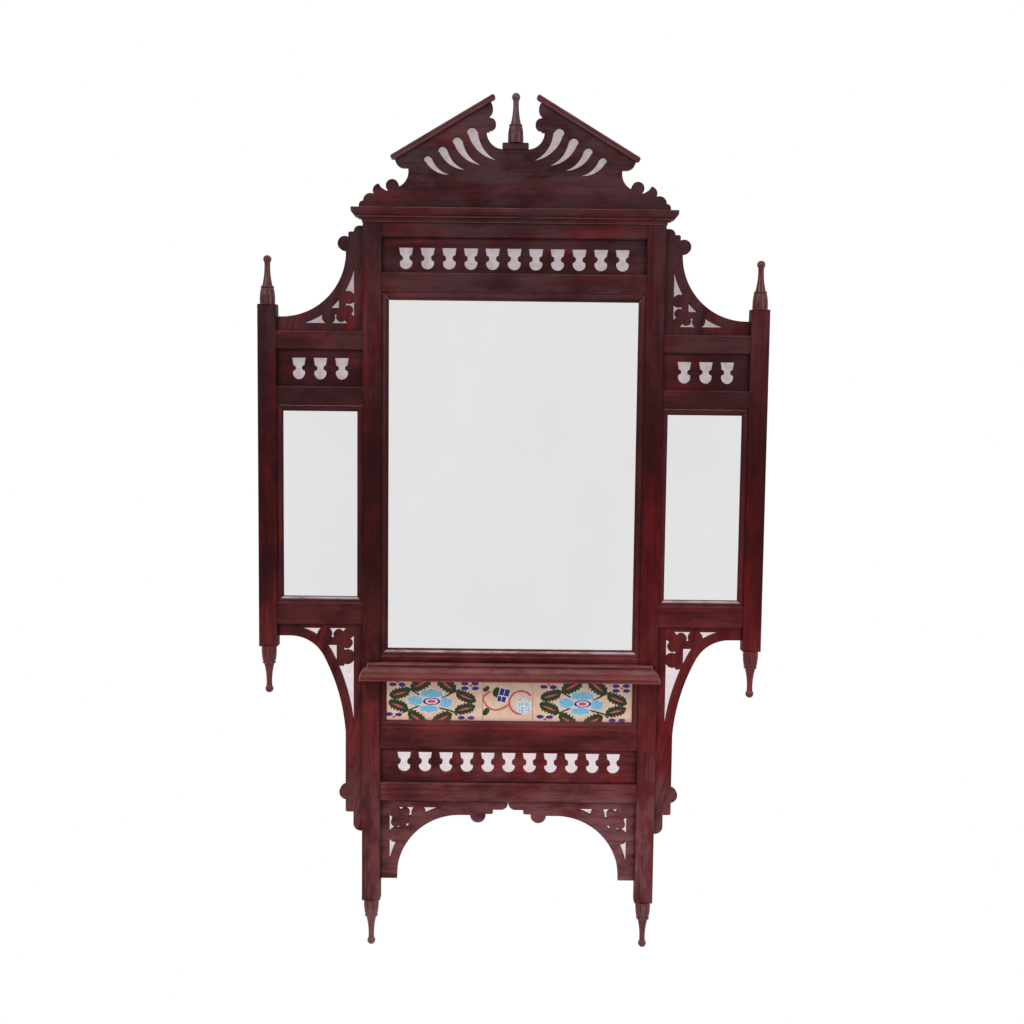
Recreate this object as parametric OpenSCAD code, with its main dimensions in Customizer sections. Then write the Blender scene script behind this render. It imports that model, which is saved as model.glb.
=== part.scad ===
// Overmantel wall mirror: a tall framed mirror with two side mirrors, a broken pediment,
// pierced fret panels, scroll brackets, turned finials and a row of glazed tiles under a ledge.
// Millimetres. X runs to the right, Y into the wall, Z up. The back of the frame lies on
// y = 0. The origin is on the centre line, at mid height of the rail above the main mirror.

/* [Overall] */
// Width over the two outer posts
span_w = 762; // [720:1:820]
// Width over the two main stiles
centre_w = 449; // [420:1:480]
// Depth of the stiles and posts, front to back
frame_d = 20; // [19:0.5:26]

/* [Stiles and posts] */
// Width of each main stile
stile_w = 28; // [27:0.5:36]
// Width of each outer post
post_w = 28; // [24:0.5:36]
// Length of main stile below the bottom rail
stile_tail = 156.5; // [135:0.5:190]
// Height of post above the wing's top rail
post_head = 38.5; // [24:0.5:60]
// Length of post below the wing's bottom rail
post_tail = 34.5; // [22:0.5:60]
// Chamfer on the front edges of stiles and posts
stile_chamfer = 1.2; // [0.5:0.1:2.5]

/* [Rails] */
// How far the rails' front stands behind the stiles' front
rail_set = 2; // [1:0.25:3]
// Chamfer along the rails' front edges
rail_chamfer = 1.8; // [0.5:0.1:3]
// Height of the top rail, up to the pediment
top_rail_h = 40.5; // [34:0.5:48]
// Height of the upper fret's opening
upper_fret_h = 51.5; // [48:0.5:64]
// Height of the rail above the main mirror
mirror_top_rail_h = 30; // [24:0.5:40]
// Height of the main mirror's opening
mirror_open_h = 545.5; // [500:0.5:600]
// Height of the rail behind the ledge
mirror_low_rail_h = 27.5; // [22:0.5:36]
// Height of the tiles' opening
tile_open_h = 82.5; // [78:0.5:92]
// Height of the rail below the tiles
tile_rail_h = 35.5; // [28:0.5:44]
// Height of the lower fret's opening
lower_fret_h = 52; // [48:0.5:64]
// Height of the bottom rail
bottom_rail_h = 29.5; // [24:0.5:40]

/* [Wings] */
// How far the wings' top edge lies below the origin
wing_drop = 72.5; // [66:0.5:84]
// Height of a wing's top rail
wing_top_rail_h = 27.5; // [22:0.5:34]
// Height of a wing's fret opening
wing_fret_h = 54.5; // [48:0.5:64]
// Height of a wing's middle rail
wing_mid_rail_h = 28.5; // [22:0.5:36]
// Height of a wing's mirror opening
wing_open_h = 297; // [270:1:330]
// Height of a wing's bottom rail
wing_low_rail_h = 34; // [26:0.5:42]

/* [Joints] */
// Length of each tenon
tenon_l = 12; // [8:0.5:13]
// Thickness of each tenon
tenon_t = 7; // [5:0.5:8]
// Shoulder above and below each tenon
tenon_shoulder = 5.5; // [5.25:0.25:7]
// Clearance round a tenon, a panel's edge and a spigot
fit = 0.15; // [0.1:0.05:0.3]
// Clearance round a glass, a tile and a board
glaze_gap = 0.3; // [0.2:0.05:0.6]

/* [Fret panels] */
// Thickness of the fret panels
fret_t = 8; // [6:0.5:9]
// How far the frets stand behind the rails' front
fret_set = 5.5; // [4:0.5:6]
// Depth of the groove that holds a fret
groove_d = 5; // [3:0.25:5]
// Distance from one cut-out to the next
fret_pitch = 32.2; // [28:0.1:38]
// Least distance from a panel's visible end to the first cut-out's middle
fret_end = 28; // [22:0.5:32]
// Width of a cut-out's cup at the top
cup_w = 21.4; // [20:0.1:22.6]
// Height from the cup's top to the waist
waist_drop = 15.4; // [14.8:0.1:16]
// Width of the waist
waist_w = 10; // [8.5:0.1:11.5]
// Radius of the round bite on each side of the waist
bite_r = 4.1; // [3.8:0.1:4.4]
// How much the cup narrows on each side, down to the waist
cup_slant = 2.7; // [2.3:0.1:3.1]
// Height from the cup's top to the round hole's middle
disc_drop = 22.6; // [22:0.1:23.2]
// Radius of the round hole
disc_r = 9.6; // [9:0.1:10]
// Wood left above the cut-outs of the upper fret
upper_fret_drop = 14; // [5:0.5:16]
// Wood left above the cut-outs of the lower fret
lower_fret_drop = 5.5; // [4:0.5:16]
// Wood left above the cut-outs of a wing's fret
wing_fret_drop = 12; // [5:0.5:16]

/* [Brackets] */
// Thickness of the scroll brackets
bracket_t = 9; // [7:0.5:12]
// How far the brackets stand behind the stiles' front
bracket_set = 6.5; // [5:0.5:7]
// Width of a bracket's curved band
band_w = 14; // [13:0.5:16]
// Width of the strip against a stile
side_strip = 13.5; // [11:0.5:16]
// Strip of an upper bracket on its rail
upper_strip = 12; // [6:0.5:16]
// Strip of a lower bracket under its rail
lower_strip = 6.5; // [5:0.5:12]
// Strip of an apron bracket under its rail
apron_strip = 10.5; // [6:0.5:16]
// Radius of the upper and apron brackets' arch
arch_r = 96.5; // [90:0.5:100]
// Radius of the lower brackets' knee
knee_r = 57; // [50:0.5:62]
// Height of an upper bracket
upper_bracket_h = 155.5; // [150:0.5:157]
// Height of a lower bracket
lower_bracket_h = 322; // [300:1:345]
// Radius of the round knobs at the brackets' ends
knob_r = 11.6; // [9:0.1:13]

/* [Cornice and pediment] */
// Height of the cornice
cornice_h = 19; // [19:0.5:24]
// How far the cornice stands out
cornice_out = 15.9; // [13:0.1:16.5]
// Height of the cornice's top lip
cornice_lip = 3.2; // [2.6:0.1:3.6]
// Height of the fillet between the cornice's round and its hollow
cornice_fillet = 1.6; // [1:0.1:2]
// Thickness of the cornice at its foot
cornice_foot = 1.3; // [1:0.1:3]
// How far the pediment's ends stand inside the cornice's ends
ped_inset = 9.8; // [8:0.1:12]
// Thickness of the pediment board
ped_t = 11; // [9:0.5:12]
// How far the pediment board stands behind the stiles' front
ped_set = 5; // [4:0.5:6]
// Slope of the pediment's rakes, in degrees
rake_angle = 30.8; // [29:0.1:32]
// Height where the rakes' top lines would meet, above the cornice
rake_apex = 188; // [186:0.5:193]
// Thickness of the raking moulding's upper reed
reed_up = 4.8; // [4:0.1:6]
// Thickness of the raking moulding's lower reed
reed_low = 4; // [3:0.1:5]
// Radius of the rakes' rounded ends
rake_end_r = 3.8; // [1:0.1:4.2]
// Width of the slot between the pediment's two sides, at the top
slot_w = 65.6; // [62:0.2:70]
// Width of the block under the centre finial
block_w = 39; // [36:0.2:41]
// Height of the block under the centre finial
block_h = 9.2; // [8:0.2:12]
// Height of the block's seat above the cornice
block_seat = 88.8; // [87:0.2:90]
// Number of comma cut-outs on each side
comma_n = 4; // [3:1:4]
// Radius of the largest comma's head
comma_r = 7.2; // [6:0.1:7.6]
// Length of a dowel under the pediment
dowel_l = 26; // [20:1:32]
// Radius of a dowel under the pediment
dowel_r = 3; // [2:0.25:3.5]

/* [Ledge] */
// Height of the ledge
ledge_h = 24; // [21:0.5:28]
// How far the ledge's bottom lip stands out
ledge_out = 24; // [22.5:0.5:30]
// How far the ledge's top lip stands out
ledge_top_out = 13.5; // [11:0.5:15]
// Height of the ledge's top lip
ledge_lip = 6; // [4:0.5:9]
// Radius of the ledge's quarter round
ledge_r = 8.5; // [6:0.5:9]
// Distance from the main mirror's opening down to the ledge's top
ledge_drop = 10.3; // [8:0.1:12]
// Height of the ledge's middle fillet
ledge_fillet = 2.6; // [2:0.1:3]
// How far the ledge's ends start inside the stiles' outer edges
ledge_inset = 22; // [18:0.5:25]

/* [Mirrors and tiles] */
// Depth of the beads that hold the glass and the tiles
bead_t = 6; // [5:0.25:6.25]
// How far the beads' front stands behind the rails' front
bead_set = 2; // [1:0.25:2.5]
// Width of the main mirror's bead
bead_w = 10.2; // [8.5:0.1:13]
// Width of the side mirrors' and the tiles' beads
small_bead_w = 8.4; // [7.5:0.1:11]
// Width of the beads' flat outer band
bead_flat = 3; // [2:0.1:3.4]
// Thickness of the beads' inner lip
bead_lip = 1.6; // [1.6:0.1:2.5]
// Thickness of the mirror glass
glass_t = 4; // [3:0.25:4]
// Thickness of the tiles
tile_t = 5; // [4:0.25:5]
// Thickness of the boards behind the mirrors
board_t = 3.5; // [3:0.1:4]
// Thickness of the board behind the tiles
tile_board_t = 2.5; // [2:0.1:3]
// Width of a whole tile
tile_w = 152.4; // [120:0.1:175]
// Height of a whole tile
tile_h = 76.2; // [74:0.1:77.5]
// Joint between two tiles
tile_joint = 0.6; // [0.4:0.1:1]
// Gap left of the row of tiles, under the bead
tile_gap_left = 3; // [1:0.1:6]
// Gap right of the row of tiles, under the bead
tile_gap_right = 7.8; // [1:0.1:8]
// Radius of the pins behind the back boards
pin_r = 0.7; // [0.5:0.05:0.75]
// Length of the pins behind the back boards
pin_l = 12; // [9:0.5:14]

/* [Turnings] */
// Height of a finial above its seat
finial_h = 72; // [66:0.5:80]
// Greatest radius of a finial
finial_r = 11.5; // [10.5:0.1:11.8]
// Radius of a finial's tip ball
ball_r = 6.2; // [5.6:0.1:6.8]
// Radius of a finial's neck
neck_r = 4.5; // [4:0.1:5]
// Radius of a finial's spigot
spigot_r = 2.6; // [2:0.1:3]
// Length of a finial's spigot
spigot_l = 13; // [10:0.5:16]
// Length of the centre finial's spigot, inside its block
short_spigot_l = 6; // [5:0.5:7]

/* [Hanging plates] */
// Height of the keyhole's round hole above the origin
key_z = 36; // [32:0.5:42]
// Width of a hanging plate
plate_w = 14; // [13:0.5:16]
// Length of a hanging plate
plate_l = 46; // [44:0.5:50]
// Thickness of a hanging plate
plate_t = 1.6; // [1.2:0.1:2]
// Radius of the keyhole's round hole
key_r = 4.5; // [4:0.1:5]
// Radius of the keyhole's slot
key_slot_r = 2.25; // [2:0.05:2.4]
// Height from the round hole to the slot's end
key_rise = 9; // [8:0.5:10]
// Length of a plate's screw
screw_l = 12; // [8:0.5:14]

/* [Hidden] */
$fn = 48;

wood_dark = [0.27, 0.09, 0.10];
wood_mid = [0.33, 0.12, 0.12];
wood_light = [0.42, 0.18, 0.16];
glass_grey = [0.86, 0.87, 0.87];
brass = [0.72, 0.58, 0.30];
board_brown = [0.45, 0.34, 0.24];
tile_cream = [0.93, 0.83, 0.70];
steel_grey = [0.55, 0.55, 0.56];

// Longer than anything that a cut has to clear
far = 900;
// Overshoot that keeps a cut's faces apart from the faces it goes through
over = 1;

// Heights of the centre's rails, from the origin
mtr_lo = -mirror_top_rail_h / 2;
mtr_hi = mirror_top_rail_h / 2;
tr_lo = mtr_hi + upper_fret_h;
tr_hi = tr_lo + top_rail_h;
mlr_hi = mtr_lo - mirror_open_h;
mlr_lo = mlr_hi - mirror_low_rail_h;
tlr_hi = mlr_lo - tile_open_h;
tlr_lo = tlr_hi - tile_rail_h;
br_hi = tlr_lo - lower_fret_h;
br_lo = br_hi - bottom_rail_h;
stile_lo = br_lo - stile_tail;
centre_rails = [[tr_lo, tr_hi], [mtr_lo, mtr_hi], [mlr_lo, mlr_hi], [tlr_lo, tlr_hi], [br_lo, br_hi]];

// Heights of the wings' rails
wtr_hi = -wing_drop;
wtr_lo = wtr_hi - wing_top_rail_h;
wmr_hi = wtr_lo - wing_fret_h;
wmr_lo = wmr_hi - wing_mid_rail_h;
wlr_hi = wmr_lo - wing_open_h;
wlr_lo = wlr_hi - wing_low_rail_h;
post_hi = wtr_hi + post_head;
post_lo = wlr_lo - post_tail;
wing_rails = [[wtr_lo, wtr_hi], [wmr_lo, wmr_hi], [wlr_lo, wlr_hi]];

// Places across the width, on the right-hand side
stile_out = centre_w / 2;
stile_in = stile_out - stile_w;
post_out = span_w / 2;
post_in = post_out - post_w;
bay_w = post_in - stile_out;
wing_mid = (post_in + stile_out) / 2;

// Places through the depth
rail_d = frame_d - rail_set;
fret_front = -(rail_d - fret_set);
fret_back = fret_front + fret_t;
tenon_mid = -rail_d / 2;
bead_front = -(rail_d - bead_set);
glaze_front = bead_front + bead_t;
bracket_back = -(frame_d - bracket_set) + bracket_t;
ped_back = -(frame_d - ped_set) + ped_t;
turn_y = -(finial_r + 0.2);

// Places of the brackets' arches, from the corner of their strips
arch_gap = 12;
arch_a = side_strip + arch_r + arch_gap;
upper_arch_b = upper_strip + arch_r + 9;
apron_arch_b = apron_strip + arch_r + 11.5;

// Opens a shape upright: its Y becomes height, and it is t thick with its back on y
module upright(y, t) {
    translate([0, y, 0]) rotate([90, 0, 0]) linear_extrude(t) children();
}

// Extrudes a section along X from x0 to x1: its X becomes depth and its Y height
module along_x(x0, x1) {
    translate([x0, 0, 0]) rotate([90, 0, 90]) linear_extrude(x1 - x0) children();
}

// Puts a right-hand piece on the right, or its mirror image on the left
module on_side(s) {
    if (s < 0) mirror([1, 0, 0]) children();
    else children();
}

// A rectangle from the origin whose far corner is rounded
module nosed_rect(w, h, r) {
    square([w - r, h]);
    square([w, h - r]);
    intersection() {
        translate([w - r, h - r]) circle(r);
        square([w, h]);
    }
}

// Stiles, posts and rails

// A pocket for one rail's tenon, in the face at x, reaching to the side dir
module mortise(x, dir, span) {
    depth = tenon_l + 0.5;
    translate([
        dir > 0 ? x - over : x - depth,
        tenon_mid - tenon_t / 2 - fit,
        span[0] + tenon_shoulder - fit
    ])
        cube([depth + over, tenon_t + 2 * fit, span[1] - span[0] - 2 * (tenon_shoulder - fit)]);
}

// A groove for a fret's end, in the face at x, reaching to the side dir
module end_groove(x, dir, lo, hi) {
    translate([dir > 0 ? x - over : x - groove_d, fret_front - fit, lo - groove_d])
        cube([groove_d + over, fret_t + 2 * fit, hi - lo + 2 * groove_d]);
}

// The upright timber of a stile or post, with its front edges chamfered
module upright_timber(x0, x1, z0, z1) {
    c = stile_chamfer;
    translate([0, 0, z0]) linear_extrude(z1 - z0)
        polygon([
            [x0, 0], [x1, 0], [x1, -frame_d + c], [x1 - c, -frame_d],
            [x0 + c, -frame_d], [x0, -frame_d + c]
        ]);
}

// A round socket for a spigot or dowel that enters along Z
module socket(x, y, z, r, depth) {
    translate([x, y, z]) cylinder(r = r + fit, h = depth, $fn = 48);
}

// Heights of the pins on one side of an opening
function pin_heights(lo, hi, n) = [for (i = [0:n - 1]) lo + (hi - lo) * (i + 0.5) / n];
main_pins = pin_heights(mlr_hi, mtr_lo, 5);
wing_pins = pin_heights(wlr_hi, wmr_lo, 3);
tile_pins = pin_heights(tlr_hi, mlr_lo, 1);
board_back = glaze_front + glass_t + board_t;
tile_board_back = glaze_front + tile_t + tile_board_t;
pin_gap = 0.05;

// The holes for the pins behind a board whose rear face is on back
module pin_holes(x, dir, heights, back) {
    for (z = heights)
        translate([x - dir * over, back + pin_r + pin_gap, z]) rotate([0, dir * 90, 0])
            cylinder(r = pin_r + pin_gap, h = pin_l / 2 + over + 0.3, $fn = 24);
}

module main_stile() {
    color(wood_mid)
        difference() {
            upright_timber(stile_in, stile_out, stile_lo, tr_hi);
            for (span = centre_rails) mortise(stile_in, 1, span);
            for (span = wing_rails) mortise(stile_out, -1, span);
            end_groove(stile_in, 1, mtr_hi, tr_lo);
            end_groove(stile_in, 1, br_hi, tlr_lo);
            end_groove(stile_out, -1, wmr_hi, wtr_lo);
            pin_holes(stile_in, 1, main_pins, board_back);
            pin_holes(stile_in, 1, tile_pins, tile_board_back);
            pin_holes(stile_out, -1, wing_pins, board_back);
            socket((stile_in + stile_out) / 2, turn_y, stile_lo - over, spigot_r, spigot_l + over + 0.5);
            plate_recess();
        }
}

module wing_post() {
    color(wood_mid)
        difference() {
            upright_timber(post_in, post_out, post_lo, post_hi);
            for (span = wing_rails) mortise(post_in, 1, span);
            end_groove(post_in, 1, wmr_hi, wtr_lo);
            pin_holes(post_in, 1, wing_pins, board_back);
            socket((post_in + post_out) / 2, turn_y, post_lo - over, spigot_r, spigot_l + over + 0.5);
            socket((post_in + post_out) / 2, turn_y, post_hi - spigot_l - 0.5, spigot_r, spigot_l + over + 0.5);
        }
}

// A rail between x0 and x1 with a tenon at each end. top_groove and low_groove hold a fret.
module rail(x0, x1, span, top_groove = false, low_groove = false) {
    lo = span[0];
    hi = span[1];
    c = rail_chamfer;
    color(wood_dark)
        difference() {
            union() {
                along_x(x0, x1)
                    polygon([
                        [0, lo], [0, hi], [-rail_d + c, hi], [-rail_d, hi - c],
                        [-rail_d, lo + c], [-rail_d + c, lo]
                    ]);
                translate([x0 - tenon_l, tenon_mid - tenon_t / 2, lo + tenon_shoulder])
                    cube([x1 - x0 + 2 * tenon_l, tenon_t, hi - lo - 2 * tenon_shoulder]);
            }
            if (top_groove)
                translate([x0 - over, fret_front - fit, hi - groove_d])
                    cube([x1 - x0 + 2 * over, fret_t + 2 * fit, groove_d + over]);
            if (low_groove)
                translate([x0 - over, fret_front - fit, lo - over])
                    cube([x1 - x0 + 2 * over, fret_t + 2 * fit, groove_d + over]);
        }
}

module top_rail() {
    difference() {
        rail(-stile_in, stile_in, [tr_lo, tr_hi], low_groove = true);
        dowel_sockets();
    }
}

module mirror_top_rail() {
    rail(-stile_in, stile_in, [mtr_lo, mtr_hi], top_groove = true);
}

module mirror_low_rail() {
    rail(-stile_in, stile_in, [mlr_lo, mlr_hi]);
}

module tile_rail() {
    rail(-stile_in, stile_in, [tlr_lo, tlr_hi], low_groove = true);
}

module bottom_rail() {
    rail(-stile_in, stile_in, [br_lo, br_hi], top_groove = true);
}

module wing_top_rail() {
    rail(stile_out, post_in, [wtr_lo, wtr_hi], low_groove = true);
}

module wing_mid_rail() {
    rail(stile_out, post_in, [wmr_lo, wmr_hi], top_groove = true);
}

module wing_low_rail() {
    rail(stile_out, post_in, [wlr_lo, wlr_hi]);
}

// Fret panels

// One cut-out, hanging from y = 0: a cup, a waist between two round bites, and a round hole
module fret_hole() {
    difference() {
        union() {
            polygon([
                [-cup_w / 2, 0], [cup_w / 2, 0],
                [cup_w / 2 - cup_slant, -waist_drop], [-cup_w / 2 + cup_slant, -waist_drop]
            ]);
            translate([0, -disc_drop]) circle(disc_r);
        }
        for (s = [-1, 1]) translate([s * (waist_w / 2 + bite_r), -waist_drop]) circle(bite_r);
    }
}

// A pierced panel that fills the opening x0 to x1, lo to hi, and sits in its grooves
module fret(x0, x1, lo, hi, drop) {
    grip = groove_d - 0.3;
    n = 1 + floor((x1 - x0 - 2 * fret_end) / fret_pitch);
    first = (x0 + x1) / 2 - fret_pitch * (n - 1) / 2;
    color(wood_dark)
        upright(fret_back, fret_t)
            difference() {
                translate([x0 - grip, lo - grip]) square([x1 - x0 + 2 * grip, hi - lo + 2 * grip]);
                for (i = [0:n - 1]) translate([first + i * fret_pitch, hi - drop]) fret_hole();
            }
}

module upper_fret() {
    fret(-stile_in, stile_in, mtr_hi, tr_lo, upper_fret_drop);
}

module lower_fret() {
    fret(-stile_in, stile_in, br_hi, tlr_lo, lower_fret_drop);
}

module wing_fret() {
    fret(stile_out, post_in, wmr_hi, wtr_lo, wing_fret_drop);
}

// Scroll brackets. Their shapes are drawn with A away from the stile and B away from the rail.

// The open space inside an arch of radius r about the point c, enlarged by grow
module arch_void(c, r, grow) {
    translate(c) circle(r + grow, $fn = 96);
    translate([c[0], c[1] - r - grow]) square(far);
    translate([c[0] - r - grow, c[1]]) square(far);
}

// The open space of a lower bracket: a tight knee that runs into a long flat curve
knee_angle = 27.4;
knee_c = [side_strip + 96, lower_strip + knee_r + 12];
knee_edge = side_strip + 11.5;
knee_join = [knee_c[0] - knee_r * cos(knee_angle), knee_c[1] - knee_r * sin(knee_angle)];
long_r = (knee_join[0] - knee_edge) / (1 - cos(knee_angle));
long_c = [knee_join[0] + long_r * cos(knee_angle), knee_join[1] + long_r * sin(knee_angle)];
module knee_void(grow) {
    reach = knee_join - grow * [cos(knee_angle), sin(knee_angle)];
    arch_void(knee_c, knee_r, grow);
    intersection() {
        translate(long_c) circle(long_r + grow, $fn = 192);
        polygon([
            reach, reach + 150 * [cos(knee_angle), sin(knee_angle)],
            [reach[0] + 150, long_c[1]], [-far, long_c[1]], [-far, reach[1]]
        ]);
    }
    translate([long_c[0] - long_r - grow, long_c[1]]) square(far);
}

// The carved scroll in a bracket's corner: two curls about a leaf whose tip is in the corner
module scroll() {
    curl_r = 10.9;
    curl_at = [44.6, 9.8];
    arm_lo = 15;
    arm_hi = 26;
    arm_l = 58;
    lobe_r = 7.4;
    leaf_r = 11;
    tip = 12;
    translate([16.7, 16.7]) circle(leaf_r);
    polygon([[-2, -2], [tip, -2], [tip, 0], [18, 7], [7, 18], [0, tip], [-2, tip]]);
    for (flip = [0, 1]) mirror([flip, -flip, 0]) {
        translate(curl_at) circle(curl_r);
        translate([23.7, 9.8]) circle(lobe_r);
        translate([16.7, arm_lo]) square([arm_l - 16.7, arm_hi - arm_lo]);
    }
}

// The holes of a bracket whose strips are side_strip and strip wide
module scroll_holes(strip, k) {
    difference() {
        translate([side_strip, strip]) square([far / 3, far / 3]);
        children();
        translate([side_strip, strip]) scale(k) scroll();
    }
}

module upper_bracket_shape() {
    c = [arch_a, upper_arch_b];
    edge = arch_a - arch_r;
    difference() {
        union() {
            difference() {
                square([bay_w, upper_arch_b + 12]);
                arch_void(c, arch_r, 0);
            }
            translate([edge + 1.5, upper_bracket_h - 26]) circle(knob_r - 0.8);
            nosed_rect(edge - 3.5, upper_bracket_h - 8.7, 3);
            nosed_rect(edge - 11.5, upper_bracket_h, 8.5);
        }
        scroll_holes(upper_strip, 0.86) arch_void(c, arch_r, band_w);
    }
}

module lower_bracket_shape() {
    difference() {
        union() {
            difference() {
                square([bay_w, long_c[1] + 40]);
                knee_void(0);
            }
            square([knee_edge, lower_bracket_h - 45]);
            translate([knee_edge - 1.5, lower_bracket_h - 61]) circle(knob_r + 0.4);
            nosed_rect(knee_edge + 0.8, lower_bracket_h - 30, 2.8);
            nosed_rect(knee_edge - 11.2, lower_bracket_h, 11.5);
        }
        scroll_holes(lower_strip, 1) knee_void(band_w - 1);
    }
}

module apron_bracket_shape() {
    c = [arch_a, apron_arch_b];
    deep = apron_arch_b - arch_r;
    difference() {
        union() {
            difference() {
                square([arch_a + 18, apron_arch_b + 4.5]);
                arch_void(c, arch_r, 0);
            }
            square([stile_in - 42, deep]);
            translate([stile_in - 46.5, deep - 0.5]) circle(knob_r + 0.4);
            nosed_rect(stile_in - 23.2, deep - 2, 3.2);
            nosed_rect(stile_in - glaze_gap / 2, deep - 8.8, 11);
        }
        scroll_holes(apron_strip, 1) arch_void(c, arch_r, band_w + 0.8);
    }
}

module upper_bracket() {
    color(wood_dark)
        translate([stile_out, 0, wtr_hi]) upright(bracket_back, bracket_t) upper_bracket_shape();
}

module lower_bracket() {
    color(wood_dark)
        translate([stile_out, 0, wlr_lo])
            upright(bracket_back, bracket_t) mirror([0, 1]) lower_bracket_shape();
}

module apron_bracket() {
    color(wood_dark)
        translate([stile_in, 0, br_lo])
            upright(bracket_back, bracket_t) mirror([0, 1]) mirror([1, 0]) apron_bracket_shape();
}

// Pediment. Its outline is drawn on the right half, above the cornice's top.

rake_tan = tan(rake_angle);
// Centre of the circle through three points
function circle_centre(a, b, c) =
    let (
        d = 2 * (a[0] * (b[1] - c[1]) + b[0] * (c[1] - a[1]) + c[0] * (a[1] - b[1])),
        aa = a * a,
        bb = b * b,
        cc = c * c
    )
    [
        (aa * (b[1] - c[1]) + bb * (c[1] - a[1]) + cc * (a[1] - b[1])) / d,
        (aa * (c[0] - b[0]) + bb * (a[0] - c[0]) + cc * (b[0] - a[0])) / d
    ];

// A disc that passes through three points
module disc_through(a, b, c) {
    m = circle_centre(a, b, c);
    translate(m) circle(norm(a - m), $fn = 96);
}

// A comma cut-out: a round head of radius r at h, and a curved tail that ends at t
module comma(h, t, r) {
    l = norm(t - h);
    turn = atan2(t[1] - h[1], t[0] - h[0]);
    sag_out = 0.215 * l;
    sag_in = 0.066 * l;
    // the arcs meet the head a little inside its edge
    bite = 0.4;
    translate(h) circle(r);
    translate(h) rotate(turn)
        difference() {
            intersection() {
                disc_through([0, r - bite], [l / 2, sag_out], [l, 0]);
                translate([0, bite - r]) square([l - 0.2, 2 * l]);
            }
            disc_through([0.09 * l, bite - r], [l / 2, sag_in], [l, -0.6]);
        }
}

module pediment_commas() {
    head = [64.5, 114];
    tail = [23.8, 72.2];
    head_step = [21.8, -13.3];
    tail_step = [23, -6.8];
    for (i = [0:comma_n - 1])
        comma(head + i * head_step, tail + i * tail_step, comma_r - 0.65 * i);
}

// Half the pediment's width. Its foot's places are measured inwards from its end.
ped_half_w = stile_out + cornice_out - ped_inset;
slot_half = slot_w / 2;
// Height of the board's edge under the raking moulding, where x is 0
board_apex = rake_apex - reed_up / cos(rake_angle);
// The lobe under the rake's outer end
foot_lobe_x = ped_half_w - 66.2;
foot_lobe = [foot_lobe_x, rake_apex - foot_lobe_x * rake_tan - 15.6];
foot_lobe_r = 13.4;
lobe_neck = 12.8;
// The foot's knob, its leaf and its two outer lobes
foot_knob = [ped_half_w - 49.1, 34.4];
foot_knob_r = 9.5;
leaf_mid = [ped_half_w - 30.8, 27];
leaf_r = 10.4;
outer_lobe = [ped_half_w - 17.1, 12.5];
outer_lobe_r = 10.9;
end_lobe = [ped_half_w - 6.7, 5.4];
end_lobe_r = 7;
// The bite between the foot's knob and the lobe above it
foot_bite = [ped_half_w - 48.4, 55];
foot_bite_r = 24.5;
// The slot's knob, the lobe above it, and the bite beside the centre block
slot_knob = [slot_half + 4.9, 125.2];
slot_knob_r = 8.6;
slot_lobe = [slot_half + 14, 147.4];
slot_lobe_r = 13;
slot_edge = slot_half + 5.7;
slot_bite = [17.6, block_seat + 24.9];
slot_bite_r = 25;
bite_top = slot_knob[1] - slot_knob_r - 2.1;

module pediment_half() {
    shelf = foot_lobe[1] - foot_lobe_r + 0.1;
    knob_x = foot_knob[0];
    intersection() {
        // everything under the raking moulding
        polygon([
            [0, -over], [ped_half_w + over, -over],
            [ped_half_w + over, board_apex - (ped_half_w + over) * rake_tan], [0, board_apex]
        ]);
        union() {
            difference() {
                polygon([
                    [0, 0], [ped_half_w - 0.3, 0], [ped_half_w - 0.3, end_lobe[1]],
                    [end_lobe[0], end_lobe[1]], [outer_lobe[0], outer_lobe[1]],
                    [leaf_mid[0], leaf_mid[1] - 4], [leaf_mid[0] - 8.8, leaf_mid[1] + 0.1],
                    [knob_x, leaf_mid[1]], [knob_x - 6.5, foot_knob[1]], [knob_x - 6.5, shelf],
                    [foot_lobe[0], shelf], [foot_lobe[0] + lobe_neck, foot_lobe[1]],
                    [foot_lobe[0] + lobe_neck, board_apex], [0, board_apex]
                ]);
                // the bite above the knob
                intersection() {
                    translate(foot_bite) circle(foot_bite_r);
                    translate([foot_bite[0] - 40, 0]) square([80, shelf]);
                }
                // the bite beside the centre block, and the slot above it
                intersection() {
                    translate(slot_bite) circle(slot_bite_r);
                    translate([-over, 0]) square([80, bite_top]);
                }
                translate([-over, block_seat]) square([block_w / 2 - 1, far]);
                translate([-over, bite_top - over]) square([slot_edge + over, far]);
            }
            translate(end_lobe) circle(end_lobe_r);
            translate(outer_lobe) circle(outer_lobe_r);
            // the leaf, round outside and hollow towards the knob
            intersection() {
                translate(leaf_mid) circle(leaf_r);
                translate(leaf_mid)
                    polygon([[-10.6, -8], [-10.6, -0.6], [-2.4, 4.4], [3.1, 12], [15, 12], [15, -8]]);
            }
            translate(foot_knob) circle(foot_knob_r);
            translate(foot_lobe) circle(foot_lobe_r);
            translate(slot_knob) circle(slot_knob_r);
            translate(slot_lobe) circle(slot_lobe_r);
        }
    }
}

// The dowels between the pediment board and the top rail, and their sockets
dowel_y = ped_back - ped_t / 2;
dowel_x = [-150, -50, 50, 150];
module dowel_sockets() {
    for (x = dowel_x)
        translate([x, dowel_y, tr_hi - dowel_l / 2 - 0.5])
            cylinder(r = dowel_r + fit, h = dowel_l + 1, $fn = 48);
}

module pediment_board() {
    color(wood_dark)
        difference() {
            translate([0, 0, tr_hi]) upright(ped_back, ped_t)
                difference() {
                    union() {
                        pediment_half();
                        mirror([1, 0]) pediment_half();
                    }
                    pediment_commas();
                    mirror([1, 0]) pediment_commas();
                }
            dowel_sockets();
        }
}

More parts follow.
